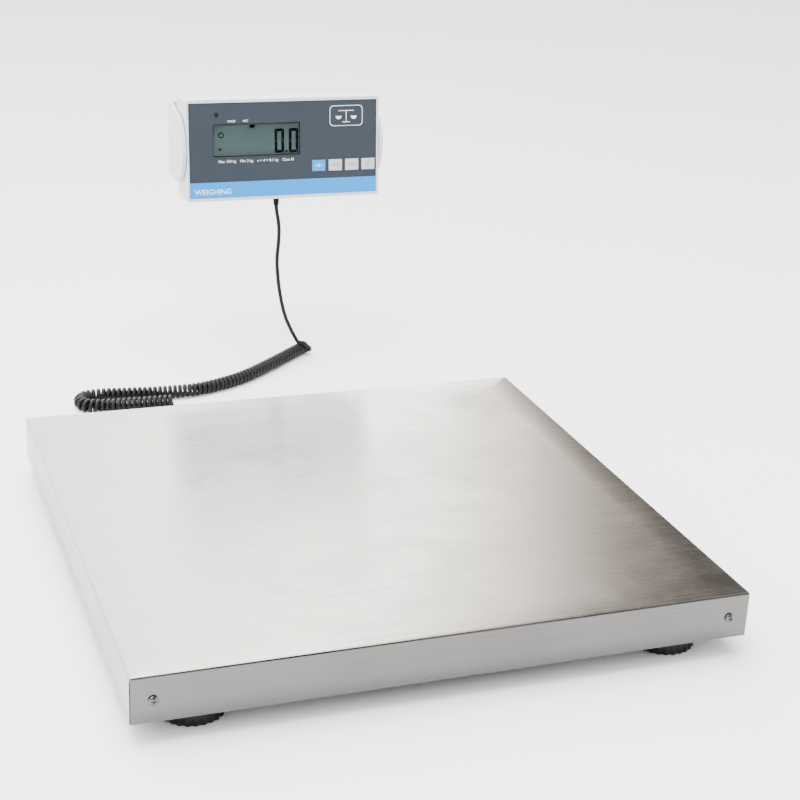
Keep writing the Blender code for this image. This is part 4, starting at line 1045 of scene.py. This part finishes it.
@dataclass
class Indicator:
    """The tilting indicator on its wall bracket: cases, printed face, display and keys."""

    tilt: float = math.radians(-6)
    face_back: float = 0.037
    face_drop: float = 0.002
    film_depth: float = 0.0004
    lcd_centre: tuple[float, float] = (-0.03215, 0.01115)
    lcd_size: tuple[float, float] = (0.1031, 0.0375)
    segment_depth: float = 0.00342
    segment_stroke: float = 0.0032
    segment_gap: float = 0.0003
    digit_lefts: tuple[float, float] = (-0.0107, 0.0063)
    digit_width: float = 0.0113
    digit_height: float = 0.0277
    digit_foot: float = -0.0050
    point_centre: tuple[float, float] = (0.0034, -0.0036)
    zero_centre: tuple[float, float] = (-0.0738, 0.0170)
    zero_radii: tuple[float, float] = (0.0034, 0.0022)
    badge_centre: tuple[float, float] = (0.0748, 0.0357)
    badge_size: tuple[float, float] = (0.0400, 0.0236)
    badge_line: float = 0.0006
    badge_corner_share: float = 0.190476
    bezel_end: float = 0.0021
    key_first: float = 0.0415
    key_pitch: float = 0.0201
    key_height: float = -0.021
    key_front: float = -0.0002
    print_rise: float = 0.00004
    range_line: str = "Max 150 kg    Min 2 kg    e = d = 0.1 kg    Class III"

    def __post_init__(self) -> None:
        """Find the tilt axis in the frame."""
        joint = next(j for j in frame["joints"] if j["name"] == "indicator_tilt")
        self.pivot = Vector(joint["pos_m"])
        self.turn = Matrix.Translation(self.pivot) @ Matrix.Rotation(self.tilt, 4, "X")

    def place(self, points: np.ndarray) -> np.ndarray:
        """Row places of face points (x, depth behind the face, height from its middle)."""
        return placed(points + np.array([0.0, -self.face_back, -self.face_drop]), self.turn)

    def build(self, finishes: dict[str, bpy.types.Material]) -> None:
        """Make the fine pieces and dress the frame's nodes."""
        self.make_cases(finishes)
        self.make_face(finishes)
        self.make_display(finishes)
        self.make_keys(finishes)
        self.make_print(finishes)
        self.make_relief(finishes["rubber"])
        dress_node("main_board", finishes["board"])
        dress_node("battery_pack", finishes["wrap"])
        LOG.info("indicator ready")

    def make_cases(self, finishes: dict[str, bpy.types.Material]) -> None:
        """Ease the edges of the shells, the battery cover and the wall bracket."""
        for node, width, body in (("indicator_front_case", 0.0007, HEAD),
                                  ("indicator_rear_case", 0.0009, HEAD),
                                  ("battery_cover", 0.0004, HEAD),
                                  ("wall_bracket", 0.0010, PLATFORM)):
            dress(eased_copy(node, width, body, 3), finishes["white"])

    def make_face(self, finishes: dict[str, bpy.types.Material]) -> None:
        """Print the overlay film, and dress the lamp."""
        middle = self.turn @ Vector((0.0, -self.face_back, -self.face_drop))
        film = PrintedFilm("printed_film", (0.026, 0.034, 0.045), (0.0, 0.240, 0.640), -0.036,
                           middle, self.tilt)
        dress_node("front_overlay", film.build())
        dress_node("status_lamp", finishes["black"])

    def joined(self, name: str, outlines: Sequence[np.ndarray], near: float, far: float
               ) -> bpy.types.Object:
        """One piece of several thin plates that don't touch."""
        points, faces, count = [], [], 0
        for outline in outlines:
            size = len(outline)
            for depth in (near, far):
                points.append(np.column_stack([outline[:, 0], np.full(size, depth), outline[:, 1]]))
            faces += [tuple(f + count) for f in grid_faces(2, size)]
            faces.append(tuple(count + k for k in reversed(range(size))))
            faces.append(tuple(count + size + k for k in range(size)))
            count += 2 * size
        made = make_object(name, self.place(np.vstack(points)), faces, 30.0)
        face_outwards(made, 30.0)
        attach(made, HEAD)
        return made

    def make_display(self, finishes: dict[str, bpy.types.Material]) -> None:
        """The display's bezel, window, panel and dark segments."""
        dress_node("display_window", finishes["pane"])
        dress_node("lcd_panel", finishes["lcd"])
        width, height = self.lcd_size
        rings = []
        for inset, depth in ((0.0, 0.0009), (0.0, self.bezel_end),
                             (0.0009, self.bezel_end), (0.0006, 0.0009)):
            ring = rounded_outline(width - 2 * inset - 1e-4, height - 2 * inset - 1e-4, 0.0006, 3)
            ring = ring + self.lcd_centre
            rings.append(np.column_stack([ring[:, 0], np.full(len(ring), depth), ring[:, 1]]))
        bezel = loft("window_bezel", self.place(np.array(rings)), closed=True, smooth=30.0)
        dress(bezel, finishes["black"])
        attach(bezel, HEAD)
        near, far = self.segment_depth, self.segment_depth + 0.00008
        segments = [bar for left in self.digit_lefts for bar in self.digit(left)]
        segments.append(rounded_outline(0.0026, 0.0026, 0.0006, 2) + self.point_centre)
        net_mark = rounded_outline(0.0056, 0.0030, 0.0004, 2) + (-0.0371, 0.0262)
        low_mark = np.array([(-0.0775, 0.0016), (-0.0723, 0.0016), (-0.0749, -0.0010)])
        segments += [net_mark, low_mark]
        digits = self.joined("lcd_segments", segments, near, far)
        dress(digits, finishes["segment"])
        ring_angle = np.arange(28) * math.pi / 14
        circle = np.stack([np.cos(ring_angle), np.sin(ring_angle)], -1)
        outer, inner = self.zero_radii
        x, z = self.zero_centre
        zero = np.array([np.column_stack([circle[:, 0] * radius + x, np.full(28, depth),
                                          circle[:, 1] * radius + z])
                         for radius, depth in ((outer, near), (outer, far), (inner, far),
                                               (inner, near))])
        mark = loft("lcd_zero_mark", self.place(zero), closed=True, smooth=30.0)
        dress(mark, finishes["segment"])
        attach(mark, HEAD)

    def digit(self, left: float) -> list[np.ndarray]:
        """The six lit segments of a seven-segment nought, mitred where they meet."""
        gap, stroke = self.segment_gap, self.segment_stroke
        right, foot = left + self.digit_width, self.digit_foot
        top = foot + self.digit_height
        waist = (foot + top) / 2
        inner_left, inner_right = left + stroke, right - stroke
        bars = []
        for end, inward in ((top, -1), (foot, 1)):
            inner = end + inward * stroke
            near_waist = waist - inward * gap
            bars.append(np.array([(left + gap, end), (right - gap, end),
                                  (inner_right - gap, inner), (inner_left + gap, inner)]))
            for outer_x, inner_x in ((left, inner_left), (right, inner_right)):
                bars.append(np.array([(outer_x, end + inward * gap), (outer_x, near_waist),
                                      (inner_x, near_waist), (inner_x, inner + inward * gap)]))
        return bars

    def make_keys(self, finishes: dict[str, bpy.types.Material]) -> None:
        """Ease each key and print its legend."""
        legends = (">0<", "TARE", "UNIT", None)
        for index, (key, legend) in enumerate(zip(KEYS, legends)):
            x = self.key_first + self.key_pitch * index
            cap = eased_copy(key, 0.0004, key, 3)
            first = index == 0
            dress(cap, finishes["key_blue" if first else "key_grey"])
            if legend:
                mark = self.text(f"{key}_legend", legend, 0.0056 if first else 0.0042,
                                 (x, self.key_height), self.key_front, True)
            else:
                mark = self.power_mark(f"{key}_legend", (x, self.key_height))
            dress(mark, finishes["white_ink" if first else "grey_ink"])
            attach(mark, key)

    def power_mark(self, name: str, middle: tuple[float, float]) -> bpy.types.Object:
        """The usual on and off sign: an open ring with a bar in its gap."""
        angle = np.linspace(math.radians(125), math.radians(415), 24)
        ring = np.stack([np.cos(angle), np.sin(angle)], -1)
        open_ring = np.vstack([ring * 0.0030, ring[::-1] * 0.0024]) + middle
        bar = rounded_outline(0.0007, 0.0034, 0.0003, 2) + (middle[0], middle[1] + 0.0020)
        return self.joined(name, [open_ring, bar], self.key_front - self.print_rise, self.key_front)

    def text(self, name: str, words: str, size: float, middle: tuple[float, float], depth: float,
             centred: bool = False) -> bpy.types.Object:
        """Plain lettering, a thin mesh that stands just proud of its surface.

        Args:
            name: the piece's name.
            words: what it says.
            size: letter size.
            middle: (x, height) of its middle, or of its left end on the base line.
            depth: of the surface behind the face.
            centred: middle is the middle.

        Returns:
            The piece, riding on the indicator.
        """
        curve = bpy.data.curves.new(name, "FONT")
        curve.body = words
        curve.size = size
        curve.extrude = self.print_rise / 2
        curve.resolution_u = 3
        curve.align_x = "CENTER" if centred else "LEFT"
        curve.align_y = "CENTER" if centred else "BOTTOM_BASELINE"
        source = bpy.data.objects.new(f"{name}_source", curve)
        bpy.context.scene.collection.objects.link(source)
        graph = bpy.context.evaluated_depsgraph_get()
        mesh = bpy.data.meshes.new_from_object(source.evaluated_get(graph))
        bpy.data.objects.remove(source)
        flat = np.empty(len(mesh.vertices) * 3)
        mesh.vertices.foreach_get("co", flat)
        flat = flat.reshape(-1, 3)
        local = np.column_stack([flat[:, 0] + middle[0], depth - self.print_rise / 2 - flat[:, 2],
                                 flat[:, 1] + middle[1]])
        mesh.vertices.foreach_set("co", self.place(local).ravel())
        mesh.update()
        made = bpy.data.objects.new(name, mesh)
        bpy.context.scene.collection.objects.link(made)
        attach(made, HEAD)
        return made

    def make_print(self, finishes: dict[str, bpy.types.Material]) -> None:
        """The overlay's printed words, range line and badge."""
        surface = self.film_depth
        ink = finishes["white_ink"]
        for name, words, size, left in (
                ("print_hold", "HOLD", 0.0034, (-0.0668, 0.0318)),
                ("print_net", "NET", 0.0034, (-0.0488, 0.0318)),
                ("print_range", self.range_line, 0.0044, (-0.0780, -0.0140)),
                ("print_title", "WEIGHING", 0.0086, (-0.1062, -0.0497))):
            dress(self.text(name, words, size, left, surface), ink)
        front = surface - self.print_rise
        centre = np.array(self.badge_centre)
        rings = []
        for inset, depth in ((0.0, surface), (0.0, front), (self.badge_line, front),
                             (self.badge_line, surface)):
            width, height = self.badge_size[0] - 2 * inset, self.badge_size[1] - 2 * inset
            ring = rounded_outline(width, height, height * self.badge_corner_share, 6) + centre
            rings.append(np.column_stack([ring[:, 0], np.full(len(ring), depth), ring[:, 1]]))
        badge = loft("badge_frame", self.place(np.array(rings)), closed=True, smooth=30.0)
        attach(badge, HEAD)
        dress(badge, ink)
        angle = np.linspace(math.pi, 2 * math.pi, 13)
        pan = np.stack([np.cos(angle), np.sin(angle)], -1) * 0.0036
        shapes = [
            rounded_outline(0.0190, 0.0007, 0.0003, 2) + (0, 0.0058) + centre,
            rounded_outline(0.0007, 0.0120, 0.0003, 2) + (0, -0.0006) + centre,
            rounded_outline(0.0090, 0.0007, 0.0003, 2) + (0, -0.0073) + centre,
            pan + (-0.0092, -0.0004) + centre, pan + (0.0092, -0.0004) + centre,
        ]
        sign = self.joined("badge_balance", shapes, surface - self.print_rise, surface)
        dress(sign, ink)

    def make_relief(self, rubber: bpy.types.Material) -> None:
        """The strain relief: a ribbed taper under the case, with its neck and collar inside."""
        foot = -0.0575
        profile = [(0.0027, foot + 0.0045), (0.0055, foot + 0.0045), (0.0055, foot + 0.0028),
                   (0.0035, foot + 0.0028), (0.0035, foot - 0.0003), (0.0043, foot - 0.0003)]
        for index in range(5):
            z = foot - 0.0012 - index * 0.0021
            radius = 0.0041 - index * 0.0002
            profile += [(radius, z), (radius, z - 0.0011), (radius - 0.0006, z - 0.0013),
                        (radius - 0.0006, z - 0.0019)]
        profile += [(0.0031, foot - 0.0119), (0.0027, foot - 0.0119)]
        rings = turned(profile, 28)
        local = rings + np.array([-0.0033, 0.026, 0.0])
        relief = loft("ribbed_relief", self.place(local), closed=True, smooth=40.0)
        dress(relief, rubber)
        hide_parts("cord_strain_relief")
        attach(relief, HEAD)


# Build -------------------------------------------------------------------------------------

def make_finishes() -> dict[str, bpy.types.Material]:
    """Every shared material, by the name that the classes use."""
    finishes = {
        # The steel paints a shade on the front and rear skirts through the mark that lay_grain
        # gives them.
        "steel": Brushed("brushed_stainless", (0.37, 0.36, 0.345), 0.26, Axis.X, across_map="grain",
                         shade_map="painted_skirt_shade"),
        "zinc": Brushed("bright_zinc", (0.38, 0.38, 0.37), 0.28, Axis.Y, lines=1500.0, marks=0.1),
        "screw": Brushed("dark_zinc", (0.13, 0.13, 0.135), 0.26, Axis.Z, lines=1500.0, marks=0.1),
        "aluminium": Brushed("milled_aluminium", (0.74, 0.75, 0.77), 0.34, Axis.X, 4e-6, 700.0),
        "paint": Moulded("frame_paint", (0.10, 0.108, 0.12), 0.46, 900.0, 1.2e-5, 0.12),
        "black": Moulded("black_moulding", (0.0035, 0.0035, 0.004), 0.45, 1500.0, 1.0e-5, 0.15,
                         shine=0.25),
        "rubber": Moulded("black_rubber", (0.003, 0.003, 0.0032), 0.62, 1100.0, 1.4e-5, 0.2,
                          shine=0.2),
        "jacket": Moulded("cable_jacket", (0.005, 0.005, 0.0055), 0.5, 1300.0, 8e-6, 0.15,
                          shine=0.25),
        "cord": Moulded("cord_jacket", (0.0028, 0.0028, 0.0032), 0.42, 1500.0, 6e-6, 0.2,
                        shine=0.22),
        "white": Moulded("off_white_moulding", (0.58, 0.595, 0.62), 0.42, 1700.0, 8e-6, 0.015),
        "key_blue": Moulded("blue_key", (0.0, 0.250, 0.650), 0.40, 1900.0, 5e-6, 0.03, shine=0.2),
        "key_grey": Moulded("grey_key", (0.46, 0.47, 0.48), 0.40, 1900.0, 5e-6, 0.03),
        "wrap": Moulded("battery_wrap", (0.03, 0.12, 0.32), 0.3, 700.0, 8e-6, 0.1, 0.6),
        "lcd": DisplayGlass("display_glass", (0.048, 0.076, 0.078)),
        "pane": ClearPane("clear_pane", (0.97, 0.98, 0.98)),
        "board": CircuitBoard("circuit_board", (0.012, 0.10, 0.035), (0.03, 0.20, 0.07)),
        "white_ink": Ink("white_ink", (0.80, 0.82, 0.84)),
        "grey_ink": Ink("grey_ink", (0.14, 0.15, 0.17)),
        "segment": Ink("dark_segment", (0.001, 0.0015, 0.0015), 0.5, 0.0),
    }
    return {name: finish.build() for name, finish in finishes.items()}


def main() -> None:
    """Build the studio and the cord first, then the platform and the indicator."""
    logging.basicConfig(level=logging.INFO)
    Studio().build()
    finishes = make_finishes()
    CurlyCord().build(finishes["cord"])
    Platform().build(finishes)
    Indicator().build(finishes)
    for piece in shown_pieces():
        LOG.info("%s has %d faces", piece.name, len(piece.data.polygons))


if __name__ == "__main__":
    main()
